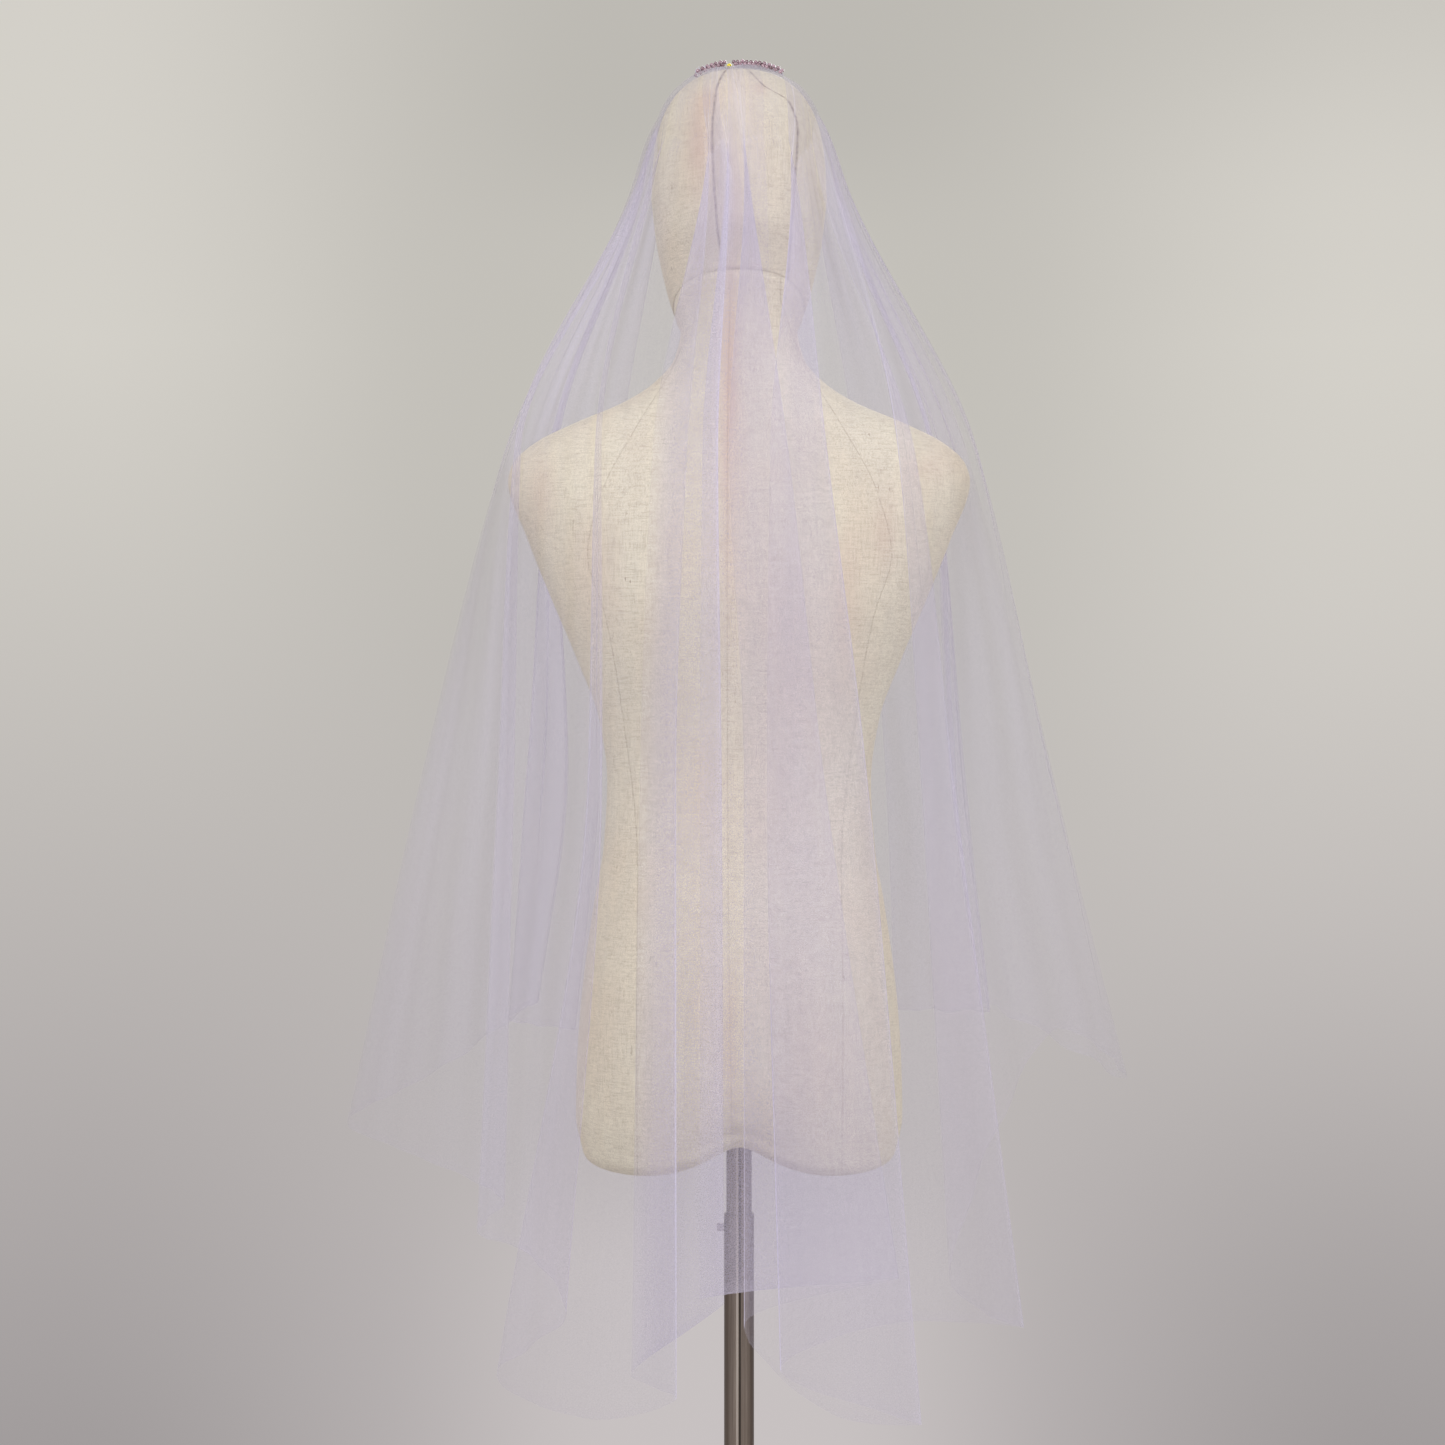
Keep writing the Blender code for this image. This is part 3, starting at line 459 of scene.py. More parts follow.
def fold_lines(share):
    """Points down each line of the veil, and the space that each keeps from the form."""
    table = np.array([row[1:] for row in VEIL_LINES]) * MM
    head = table[:, 1:3]
    flat = evened(head)
    out = outside_head(head[:, 0], head[:, 1])
    flat_out = evened(out)
    lines = []
    for i, row in enumerate(table):
        comb, head_x, head_y, top_x, top_y, waist_x, waist_y, hem_x, hem_y, hem = row
        start_x, start_y, start = gathered_edge(comb)
        crown_x = start_x + CROWN_SHARE * (flat[i, 0] - start_x)
        crown_y = start_y + CROWN_SHARE * (flat[i, 1] - start_y)
        levels = (hem, WAIST_LEVEL, SHOULDER_LEVEL, HEAD_LEVEL, CROWN_LEVEL, start)
        height = start + (hem - start) * share
        x = monotone(levels, (hem_x, waist_x, top_x, head_x, crown_x, start_x), height)
        y = monotone(levels, (hem_y, waist_y, top_y, head_y, crown_y, start_y), height)
        at_crown = np.clip((height - HEAD_LEVEL) / (CROWN_LEVEL - HEAD_LEVEL), 0, 1)
        off_comb = np.clip((start - height) / (start - HEAD_LEVEL), 0, 1)
        off_head = np.clip((HEAD_LEVEL - height) / (HEAD_LEVEL - SEAM_HEIGHT), 0, 1)
        space = out[i] + (flat_out[i] - out[i]) * at_crown
        extra = LAYER_SHARE * (space - VEIL_CLEAR) * off_comb * (1 - off_head)
        lines.append(np.stack([x, y, height, VEIL_CLEAR + np.clip(extra, 0, None)], axis=-1))
    return np.array(lines)


def across_folds(lines, per_fold):
    """A curve through neighbouring fold lines, rounded at the folds; lines is (fold, row, values)."""
    step = np.diff(lines, axis=0)
    length = np.linalg.norm(step[..., :2], axis=-1, keepdims=True)
    way = step[..., :2] / length
    lean = np.concatenate([way[:1], (way[1:] + way[:-1]) / 2, way[-1:]])
    size = np.maximum(np.linalg.norm(lean, axis=-1, keepdims=True), LEAN_LEAST)
    before = step[:-1, :, 2:]
    after = step[1:, :, 2:]
    both = before * after
    drop = np.where(both > 0, 2 * both / np.where(both > 0, before + after, 1), 0)
    drop = np.concatenate([step[:1, :, 2:], drop, step[-1:, :, 2:]])
    columns = []
    for i in range(len(step)):
        rounding = np.minimum(FOLD_ROUND, ROUND_MOST * length[i])
        ends = []
        for k in (i, i + 1):
            level = lean[k] * np.maximum(length[i], rounding / size[k])
            ends.append(np.concatenate([level, drop[k]], axis=-1))
        for j in range(per_fold):
            t = j / per_fold
            columns.append(
                (1 + 2 * t) * (1 - t) ** 2 * lines[i]
                + t * (1 - t) ** 2 * ends[0]
                + t**2 * (3 - 2 * t) * lines[i + 1]
                + t**2 * (t - 1) * ends[1]
            )
    columns.append(lines[-1])
    return np.array(columns)


def squared_to(step, down):
    """Unit steps across the cloth, made square to its fall."""
    flat = step - np.sum(step * down, axis=-1, keepdims=True) * down
    return flat / np.linalg.norm(flat, axis=-1, keepdims=True)


def loft(rings, bottom, top):
    """Faces between rings of points, closed by a fan to the bottom and the top point."""
    sides = len(rings[0])
    verts = [point for ring in rings for point in ring] + [bottom, top]
    faces = []
    for r in range(len(rings) - 1):
        for s in range(sides):
            n = (s + 1) % sides
            faces.append((r * sides + s, r * sides + n, (r + 1) * sides + n, (r + 1) * sides + s))
    last = (len(rings) - 1) * sides
    low = len(verts) - 2
    for s in range(sides):
        n = (s + 1) % sides
        faces.append((n, s, low))
        faces.append((last + s, last + n, low + 1))
    return verts, faces


def seam_lean(height):
    """Share of the seam's slope that a ring at this height has."""
    far = min(abs(height - SEAM_HEIGHT) / SEAM_FADE, 1.0)
    return 1 - far * far * (3 - 2 * far)


def section_ring(height, width, back, front, sides, square=2.0):
    """Points of one section, leaning with the seam between head and neck."""
    ring = []
    for s in range(sides):
        turn = 2 * math.pi * s / sides
        c = math.cos(turn)
        n = math.sin(turn)
        x = width * math.copysign(abs(c) ** (2 / square), c)
        y = (front if n > 0 else back) * math.copysign(abs(n) ** (2 / square), n)
        ring.append((x, y, height - seam_lean(height) * SEAM_SLOPE * y))
    return ring


def arch(x, y):
    """How far the underside rises between the two thigh ends, most behind the pole."""
    back = min(max(-y / NOTCH_FADE, 0.0), 1.0)
    notch = NOTCH_RISE * back * back * (3 - 2 * back) * math.exp(-((x / NOTCH_WIDTH) ** 2))
    return TORSO_ARCH * math.exp(-((x / TORSO_ARCH_WIDTH) ** 2)) + notch


def circle(radius, height, sides, centre=(0.0, 0.0)):
    """Points of a level circle."""
    x, y = centre
    turns = [2 * math.pi * s / sides for s in range(sides)]
    return [(x + radius * math.cos(t), y + radius * math.sin(t), height) for t in turns]


def smooth_noise(size, seed, cells):
    """Smooth random values from -1 to 1 over a grid of this size, with this many cells each way."""
    rough = np.random.default_rng(seed).uniform(-1, 1, (cells[0] + 2, cells[1] + 2))
    at = [np.linspace(0, cell, count) for cell, count in zip(cells, size)]
    low = [np.floor(a).astype(int) for a in at]
    part = [a - b for a, b in zip(at, low)]
    part = [p * p * (3 - 2 * p) for p in part]
    i, j = np.meshgrid(*low, indexing="ij")
    p, q = np.meshgrid(*part, indexing="ij")
    left = rough[i, j] * (1 - q) + rough[i, j + 1] * q
    right = rough[i + 1, j] * (1 - q) + rough[i + 1, j + 1] * q
    return left * (1 - p) + right * p


def cloth_shares():
    """Shares of the drop at each row: close together over the crown and at the hem."""
    place = np.linspace(0, 1, CLOTH_ROWS + 1)
    place = place - HEM_PULL * np.sin(np.clip((place - 1 + HEM_ROWS) / HEM_ROWS, 0, 1) * math.pi)
    over_crown = CROWN_DROP * (1 - np.cos(np.clip(place / CROWN_ROWS, 0, 1) * math.pi / 2))
    return over_crown + (1 - CROWN_DROP) * np.clip((place - CROWN_ROWS) / (1 - CROWN_ROWS), 0, 1)


def at_columns(steps):
    """Values that lie between columns, averaged to the columns."""
    return np.concatenate([steps[:1], (steps[1:] + steps[:-1]) / 2, steps[-1:]])


def across(grid):
    """Steps across the cloth at each point, from the columns before and after it."""
    return at_columns(np.diff(grid, axis=0))


def creased(grid):
    """The cloth with its small creases, uneven in width, depth and run."""
    columns, rows = grid.shape[:2]
    fold = np.arange(columns) / CLOTH_COLUMNS_PER_FOLD
    stretch = np.minimum(fold.astype(int), len(VEIL_LINES) - 2)
    inside = (fold - stretch)[:, None]
    count = np.ones((columns, 1))
    depth = np.zeros((columns, 1))
    for first, last, creases, share in CREASES:
        held = (stretch >= first) & (stretch <= last)
        count[held] = creases
        depth[held] = share
    length = np.linalg.norm(across(grid), axis=-1) * CLOTH_COLUMNS_PER_FOLD
    wander = CREASE_WANDER * smooth_noise((columns, rows), seed=3, cells=(60, 7))
    swell = 0.65 + 0.5 * smooth_noise((columns, rows), seed=5, cells=(45, 5))
    rim = np.sin(math.pi * inside) ** 0.5
    height = np.minimum(depth * length / count * rim * swell, CREASE_DEEPEST)
    height = height * np.sin(2 * math.pi * (count * inside + wander))
    down = np.gradient(grid, axis=1)
    down /= np.linalg.norm(down, axis=-1, keepdims=True)
    normal = np.cross(squared_to(across(grid), down), down)
    return grid + normal * height[..., None]


def by_level(levels, values, height):
    """Values that are given from the highest level down, read at any height."""
    return monotone(levels[::-1], values[::-1], height)


def fold_edges(grid):
    """Share of its cover that soft folds leave at each point, and the share of the painted highlight along
    bright fold edges there.
    """
    names = [row[0] for row in VEIL_LINES]
    steps = np.linalg.norm(np.diff(grid, axis=0), axis=-1)
    along = np.concatenate([np.zeros((1, grid.shape[1])), steps.cumsum(0)])
    kept = np.ones(grid.shape[:2])
    painted_highlight = np.zeros(grid.shape[:2])
    for name, *levels in FOLD_EDGES:
        column = names.index(name) * CLOTH_COLUMNS_PER_FOLD
        height = grid[column, :, 2]
        soft = by_level(EDGE_LEVELS, levels[:4], height)
        shine = by_level(EDGE_LEVELS, levels[4:], height)
        away = np.abs(along - along[column])
        kept *= 1 - soft * np.exp(-((away / SOFT_WIDTH) ** 2))
        painted_highlight += shine * np.exp(-((away / BRIGHT_WIDTH) ** 2))
    place = np.arange(len(grid)) / CLOTH_COLUMNS_PER_FOLD
    for name, start, closest, *levels in GATHERED:
        share = place - names.index(name)
        held = np.clip((share - start) / (closest - start), 0, 1) * ((share >= 0) & (share < 1))
        more = [0.0] + [level - 1 for level in levels]
        kept *= 1 + held[:, None] * by_level(GATHER_LEVELS, more, grid[..., 2])
    return kept, np.clip(painted_highlight, 0, 1)


def net_cover(grid):
    """Share of the light that the net stops at each point, how folded it is there, which the material paints
    a sheen by, and the share of painted highlight there.
    """
    step = at_columns(np.linalg.norm(np.diff(grid, axis=0), axis=-1))
    low = step[:, int(FLAT_FROM * step.shape[1]) :]
    flat = np.maximum(low.mean(axis=1, keepdims=True), LEAST_STEP)
    dense = np.clip((flat / step) ** GATHER_POWER, STRETCHED_LEAST, COMPRESSED_MOST)
    way = np.diff(grid, axis=0)
    way /= np.linalg.norm(way, axis=-1, keepdims=True)
    turn = np.zeros(grid.shape[:2])
    turn[1:-1] = np.arccos(np.clip(np.sum(way[1:] * way[:-1], axis=-1), -1, 1))
    sharp = np.clip(FOLD_REACH * turn / np.maximum(step, 1e-5), 0, 1)
    sharp = (sharp + np.roll(sharp, 1, axis=0) + np.roll(sharp, -1, axis=0)) / 3
    kept, painted_highlight = fold_edges(grid)
    layers = dense * (1 + FOLD_LAYERS * sharp) * kept + BRIGHT_LAYERS * painted_highlight
    layers[:, -1:] *= RAW_EDGE_LAYERS
    layers[:1] *= RAW_EDGE_LAYERS
    layers[-1:] *= RAW_EDGE_LAYERS
    return 1 - (1 - LAYER_COVER) ** layers, sharp * kept, painted_highlight


def grid_object(name, grid, look, values=None, cloth=None):
    """A one-sided sheet from a grid of points, with cloth coordinates in metres and named values."""
    columns, rows = grid.shape[:2]
    i, j = np.meshgrid(np.arange(columns - 1), np.arange(rows - 1), indexing="ij")
    corner = (i * rows + j).ravel()
    faces = np.stack([corner, corner + 1, corner + rows + 1, corner + rows], axis=1)
    mesh = bpy.data.meshes.new(name)
    mesh.from_pydata(grid.reshape(-1, 3).tolist(), [], faces.tolist())
    for value_name, value in (values or {}).items():
        layer = mesh.attributes.new(value_name, "FLOAT", "POINT")
        layer.data.foreach_set("value", value.astype(np.float32).ravel())
    if cloth is not None:
        layer = mesh.uv_layers.new(name="cloth")
        corners = cloth.reshape(-1, 2)[faces.ravel()]
        layer.data.foreach_set("uv", corners.astype(np.float32).ravel())
    mesh.materials.append(look)
    mesh.shade_smooth()
    made = bpy.data.objects.new(name, mesh)
    bpy.context.scene.collection.objects.link(made)
    return made


def solid_object(name, verts, faces, look, smooth=True):
    """An object from vertices and faces."""
    mesh = bpy.data.meshes.new(name)
    mesh.from_pydata([tuple(v) for v in verts], [], [tuple(f) for f in faces])
    mesh.materials.append(look)
    mesh.validate()
    if smooth:
        mesh.shade_smooth()
    made = bpy.data.objects.new(name, mesh)
    bpy.context.scene.collection.objects.link(made)
    return made


class NodeTree:
    """Short calls for building nodes."""

    def __init__(self, tree):
        self.tree = tree

    def put(self, node, key, value):
        """Sets or links one input, by its name or number."""
        socket = node.inputs[key]
        if isinstance(value, bpy.types.NodeSocket):
            self.tree.links.new(value, socket)
        else:
            socket.default_value = value

    def add(self, kind, settings=None, **inputs):
        """A new node. An input goes by its name, or by the letter n and its number."""
        node = self.tree.nodes.new("ShaderNode" + kind)
        for key, value in (settings or {}).items():
            setattr(node, key, value)
        for key, value in inputs.items():
            numbered = key[0] == "n" and key[1:].isdigit()
            self.put(node, int(key[1:]) if numbered else key, value)
        return node

    def maths(self, operation, a, b=0.0, clamp=False):
        return self.add("Math", {"operation": operation, "use_clamp": clamp}, n0=a, n1=b).outputs[0]

    def product(self, *factors):
        result = factors[0]
        for factor in factors[1:]:
            result = self.maths("MULTIPLY", result, factor)
        return result

    def mix(self, share, a, b):
        """Colour a, with this share of colour b."""
        return self.add("Mix", {"data_type": "RGBA"}, n0=share, n6=a, n7=b).outputs[2]

    def ramp(self, value, low, high, to_low=0.0, to_high=1.0, run="LINEAR"):
        """The value moved from the range low to high into the second range, and held there."""
        settings = {"interpolation_type": run}
        node = self.add("MapRange", settings, n0=value, n1=low, n2=high, n3=to_low, n4=to_high)
        return node.outputs[0]


class Nodes(NodeTree):
    """The nodes of one new material."""

    def __init__(self, name):
        self.material = bpy.data.materials.new(name)
        self.material.use_nodes = True
        super().__init__(self.material.node_tree)
        self.shader = self.tree.nodes["Principled BSDF"]
        self.output = self.tree.nodes["Material Output"]

    def noise(self, vector, scale, detail=3.0, roughness=0.5, stretch=None):
        """Smooth noise of this many cells a metre, drawn out along each axis with a small stretch."""
        if stretch:
            vector = self.add("Mapping", None, Vector=vector, Scale=stretch).outputs[0]
        node = self.add("TexNoise", None, Vector=vector, Scale=scale, Detail=detail, Roughness=roughness)
        return node.outputs["Fac"]

    def attribute(self, name):
        return self.add("Attribute", {"attribute_name": name}).outputs["Fac"]

    def place(self):
        return self.add("TexCoord").outputs["Object"]

    def surface(self, settings):
        """Sets or links the surface shader's inputs by name."""
        for key, value in settings.items():
            self.put(self.shader, key, value)

    def bump(self, height, strength, distance):
        """Raises the surface where the height value is large."""
        node = self.add("Bump", None, Height=height, Strength=strength, Distance=distance)
        self.put(self.shader, "Normal", node.outputs[0])


def tulle_material():
    """Soft net: mostly clear, denser where the cloth is gathered, with its mesh in cloth coordinates, a
    painted sheen on its fold bends and a painted highlight along some fold edges.
    """
    n = Nodes("veil_tulle_net")
    cloth = n.add("UVMap", {"uv_map": "cloth"}).outputs[0]
    cells = n.add("TexVoronoi", {"feature": "DISTANCE_TO_EDGE"}, Vector=cloth, Scale=NET_CELLS)
    threads = n.ramp(cells.outputs["Distance"], 0.03, 0.16, 1.30, 0.82)
    cloudy = n.ramp(n.noise(cloth, 9.0), 0.3, 0.7, 0.90, 1.10)
    streaks = n.noise(cloth, 120.0, 4.0, 0.65, stretch=(1.0, 0.03, 1.0))
    uneven = n.product(cloudy, n.ramp(streaks, 0.3, 0.7, 0.92, 1.08))
    cover = n.maths("MULTIPLY", n.attribute("cover"), n.product(threads, uneven), clamp=True)
    tone = n.mix(n.noise(cloth, 4.0, 2.0), TULLE_COOL, TULLE_WARM)
    # painted sheen: a paler tone where the cloth bends at a fold, on top of the extra layers the cover adds
    tone = n.mix(n.ramp(n.attribute("fold"), 0.10, 0.7, 0.0, 0.6), tone, TULLE_FOLD_SHEEN)
    # painted highlight: a pale tone along the edges of some folds, as if they caught the light
    tone = n.mix(n.ramp(n.attribute("painted_highlight"), 0.05, 0.6), tone, TULLE_PAINTED_HIGHLIGHT)
    n.surface({"Base Color": tone, "Roughness": 0.75, "Specular IOR Level": 0.2})
    n.surface({"Sheen Weight": 0.25, "Sheen Roughness": 0.4})
    through = n.add("BsdfTranslucent", Color=tone)
    threads_only = n.add("MixShader", None, n0=0.42, n1=n.shader.outputs[0], n2=through.outputs[0])
    clear = n.add("BsdfTransparent")
    whole = n.add("MixShader", None, n0=cover, n1=clear.outputs[0], n2=threads_only.outputs[0])
    n.put(n.output, "Surface", whole.outputs[0])
    return n.material


def linen_material():
    """Cream linen: two thread directions, slubs, dark flecks, soft stains, worn marks, a painted warm shade
    down the spine and stitched seams.
    """
    n = Nodes("form_linen_weave")
    place = n.place()
    long_threads = n.noise(place, 1100.0, 2.0, 0.6, stretch=(1.0, 1.0, 0.06))
    cross_threads = n.noise(place, 1100.0, 2.0, 0.6, stretch=(0.07, 0.07, 1.0))
    long_slubs = n.noise(place, 480.0, 3.0, 0.6, stretch=(1.0, 1.0, 0.18))
    cross_slubs = n.noise(place, 480.0, 3.0, 0.6, stretch=(0.20, 0.20, 1.0))
    streaks = n.noise(place, 70.0, 3.0, 0.6, stretch=(1.0, 1.0, 0.04))
    stains = n.noise(place, 14.0, 3.0, 0.55, stretch=(1.0, 1.0, 0.45))
    flecks = n.noise(place, 260.0, 2.0, 0.5, stretch=(1.0, 1.0, 0.30))
    weave = n.maths("ADD", long_threads, cross_threads)
    slubs = n.maths("MAXIMUM", long_slubs, cross_slubs)
    tone = n.mix(n.ramp(stains, 0.35, 0.68), LINEN_PALE, LINEN_WARM)
    tone = n.mix(n.ramp(streaks, 0.45, 0.72, 0.0, 0.5), tone, LINEN_GREY)
    tone = n.mix(n.ramp(weave, 0.93, 1.20, 0.0, 0.6), tone, LINEN_DARK)
    tone = n.mix(n.ramp(slubs, 0.57, 0.74, 0.0, 0.6), tone, LINEN_DARK)
    tone = n.mix(n.ramp(flecks, 0.715, 0.80, 0.0, 0.7), tone, LINEN_FLECK)
    # worn marks, and painted warm shade along the spine
    wear_and_shade = n.product(n.attribute("wear_and_shade"), n.ramp(stains, 0.25, 0.6, 0.5, 1.0))
    tone = n.mix(wear_and_shade, tone, LINEN_WEAR_AND_SHADE)
    clearness = n.attribute("seam_clearness")
    widening = n.ramp(clearness, 1.0, HEAD_SEAM_CLEARNESS, 1.0, 1.8)
    seam = n.maths("DIVIDE", n.maths("ABSOLUTE", n.attribute("seam")), widening)
    stitches = n.noise(place, 420.0, 1.0, 0.5, stretch=(0.2, 0.2, 1.0))
    stitches = n.product(n.ramp(stitches, 0.4, 0.6, 0.14, 0.34), clearness)
    tone = n.mix(n.product(n.ramp(seam, 0.0002, 0.0009, 1.0, 0.0), stitches), tone, LINEN_SEAM)
    n.surface({"Base Color": tone, "Roughness": 0.92, "Specular IOR Level": 0.15, "Sheen Weight": 0.12})
    cloth = n.maths("ADD", n.product(weave, 0.35), n.product(slubs, 0.9))
    groove = n.ramp(seam, 0.0, 0.004, -1.6, 0.0)
    n.bump(n.maths("ADD", cloth, groove), 0.35, 0.0006)
    return n.material


def steel_material():
    """Satin steel drawn along its length, with fine vertical lines, a painted highlight line, and painted
    shade on its +X side and near its outer edges in X.
    """
    n = Nodes("stand_steel_drawn")
    place = n.place()
    lines = n.noise(place, 700.0, 3.0, 0.6, stretch=(1.0, 1.0, 0.02))
    broad = n.noise(place, 120.0, 2.0, 0.5, stretch=(1.0, 1.0, 0.05))
    side = n.add("SeparateXYZ", None, Vector=place).outputs["X"]
    tone = n.mix(lines, STEEL_DARK, STEEL_PALE)
    # painted shade: darker towards +X, the pole's right side
    tone = n.mix(n.ramp(side, -0.003, 0.009, 0.0, 0.35), tone, STEEL_DARK)
    # painted shade: darker near the pole's outer edges in X
    tone = n.mix(n.ramp(n.maths("ABSOLUTE", side), 0.0078, 0.0104, 0.0, 0.8), tone, STEEL_DARK)
    # a painted highlight line and a dark groove, fixed in place across the pole
    for middle, inner, outer, strength, colour in STEEL_LINES:
        away = n.maths("ABSOLUTE", n.maths("ADD", side, -middle))
        tone = n.mix(n.ramp(away, inner, outer, strength, 0.0), tone, colour)
    n.surface({"Base Color": tone, "Metallic": 1.0, "Roughness": n.ramp(broad, 0.3, 0.7, 0.28, 0.42)})
    n.bump(lines, 0.12, 0.0003)
    return n.material


def base_material():
    """Powder-grey steel plate with a fine grain."""
    n = Nodes("stand_base_grain")
    grain = n.noise(n.place(), 900.0, 2.0)
    tone = n.mix(grain, STEEL_DARK, STEEL_PALE)
    n.surface({"Base Color": tone, "Metallic": 1.0, "Roughness": n.ramp(grain, 0.3, 0.7, 0.34, 0.5)})
    n.bump(grain, 0.08, 0.0003)
    return n.material


def pearl_material():
    """Mauve glass pearls, each a little paler or darker."""
    n = Nodes("bead_mauve_pearl")
    shade = n.noise(n.place(), 180.0, 1.0)
    n.surface({"Base Color": n.mix(n.ramp(shade, 0.3, 0.7), PEARL_DARK, PEARL_PALE), "Roughness": 0.16})
    n.surface({"Coat Weight": 1.0, "Coat Roughness": 0.06, "Sheen Weight": 0.2})
    return n.material


def pin_material():
    """Glossy yellow, slightly mottled."""
    n = Nodes("pin_yellow_gloss")
    shade = n.noise(n.place(), 300.0, 1.0)
    n.surface({"Base Color": n.mix(shade, PIN_DEEP, PIN_PALE), "Roughness": 0.18, "Coat Weight": 0.5})
    return n.material


def ribbon_material():
    """Lavender net gathered into a dense band."""
    n = Nodes("heading_gathered_net")
    ribs = n.noise(n.place(), 900.0, 3.0, 0.6, stretch=(1.0, 0.15, 0.3))
    n.surface({"Base Color": n.mix(ribs, TULLE_COOL, TULLE_WARM), "Roughness": 0.75})
    n.surface({"Sheen Weight": 0.3, "Alpha": n.ramp(ribs, 0.3, 0.7, 0.55, 0.9)})
    n.bump(ribs, 0.4, 0.0005)
    return n.material


def comb_material():
    """Frosted clear plastic."""
    n = Nodes("comb_frosted_plastic")
    haze = n.noise(n.place(), 500.0, 2.0)
    n.surface({"Base Color": n.mix(haze, COMB_DARK, COMB_PALE), "Alpha": 0.7})
    n.surface({"Roughness": n.ramp(haze, 0.3, 0.7, 0.25, 0.4)})
    return n.material


def wear_and_shade_share(points):
    """How much wear and painted shade the linen has at each point."""
    total = np.zeros(points.shape[:-1])
    for x, height, half_width, half_height, strength in WEAR_AND_SHADE_PLACES:
        away = ((points[..., 0] - x) / half_width) ** 2 + ((points[..., 2] - height) / half_height) ** 2
        total += strength * np.exp(-away)
    return np.where(points[..., 1] < 0, total, 0.0)


def seam_distance(points, seams):
    """Distance across to the nearest seam at each point; seams is (line, side, whether at the front too)."""
    best = np.full(points.shape[:-1], 1.0)
    for seam, side, at_front in seams:
        table = np.array(seam)
        away = points[..., 0] - monotone(table[:, 0], table[:, 1], points[..., 2]) * side
        away = np.where((points[..., 1] < 0) | at_front, away, np.copysign(1.0, away))
        best = np.where(np.abs(away) < np.abs(best), away, best)
    return best


def linen_cover(name, rings, look, seams, ends, clearness):
    """A closed cover from rings of points, with how far its seams lie and how much wear and painted shade it
    has at each.
    """
    verts, faces = loft(rings, *ends)
    made = solid_object(name, verts, faces, look)
    points = np.array(verts)
    values = {
        "seam": seam_distance(points, seams),
        "wear_and_shade": wear_and_shade_share(points),
        "seam_clearness": np.full(len(points), clearness),
    }
    for value_name, value in values.items():
        layer = made.data.attributes.new(value_name, "FLOAT", "POINT")
        layer.data.foreach_set("value", value.astype(np.float32))
    return made


def torso_rings():
    """Rings of the torso's cover, from the pole's hole in its underside up to the seam with the head."""
    low, width, back, front = TORSO_SECTIONS[-1]
    top = TORSO_SECTIONS[0][0]
    middle = TORSO_BOTTOM + arch(0, 0)
    rings = [circle(POLE_HOLE, middle + BORE_DEPTH, COVER_SIDES)]
    hole = circle(POLE_HOLE, middle, COVER_SIDES)
    rings.append([(x, y, TORSO_BOTTOM + arch(x, y)) for x, y, z in hole])
    for step in range(1, UNDER_RINGS + 1):
        turn = math.pi / 2 * step / (UNDER_RINGS + 1)
        share = UNDER_START + (1 - UNDER_START) * math.sin(turn)
        level = low + (TORSO_BOTTOM - low) * (1 - share**UNDER_SQUARE) ** 0.5
        ring = section_ring(low, width * share, back * share, front * share, COVER_SIDES, TORSO_SQUARE)
        rings.append([(x, y, level + arch(x, y)) for x, y, z in ring])
    for height in np.linspace(low, top, COVER_RINGS):
        width, back, front = section_sizes(TORSO_SECTIONS, height)
        proud = COVER_PROUD if height < top else -COVER_PROUD
        ring = section_ring(height, width + proud, back + proud, front + proud, COVER_SIDES, TORSO_SQUARE)
        held = max((ARCH_FADE - height) / (ARCH_FADE - low), 0.0) ** 2
        rings.append([(x, y, z + held * arch(x, y)) for x, y, z in ring])
    return rings


def head_rings(start):
    """Rings of the head's cover, from its seam up over the dome."""
    rings = []
    for height in np.linspace(start, HEAD_MIDDLE, HEAD_COVER_RINGS // 2):
        width, back, front = section_sizes(HEAD_SECTIONS, height)
        proud = COVER_PROUD * min(1.0, (height - start) / COVER_FADE)
        rings.append(section_ring(height, width + proud, back + proud, front + proud, COVER_SIDES))
    for step in range(1, HEAD_COVER_RINGS + 1):
        turn = math.pi / 2 * step / (HEAD_COVER_RINGS + 1)
        share = math.cos(turn) ** (2 / HEAD_DOME)
        height = HEAD_MIDDLE + DOME_RISE * math.sin(turn) ** (2 / HEAD_DOME)
        sizes = (HEAD_HALF_WIDTH * share, HEAD_BACK * share, HEAD_FRONT * share)
        rings.append(section_ring(height, *sizes, COVER_SIDES))
    return rings


def make_form(look):
    """Linen covers of the torso and the head, finer than their solids and of the same form."""
    hole_top = TORSO_BOTTOM + arch(0, 0) + BORE_DEPTH
    ends = ((0, 0, hole_top), (0, 0, TORSO_SECTIONS[0][0] - COVER_PROUD))
    seams = ((MIDDLE_SEAM, 1, True), (SIDE_SEAM, 1, True), (SIDE_SEAM, -1, True))
    torso = linen_cover("linen_torso_cover", torso_rings(), look, seams, ends, 1.0)
    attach(torso, "form")
    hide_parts("form_torso")

    start = SEAM_HEIGHT + GAP * 2
    ends = ((0, 0, start), (0, 0, HEAD_MIDDLE + DOME_RISE))
    seams = ((HEAD_SEAM, 1, True), (HEAD_SIDE_SEAM, 1, False))
    head = linen_cover("linen_head_cover", head_rings(start), look, seams, ends, HEAD_SEAM_CLEARNESS)
    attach(head, "form")
    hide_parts("form_head")


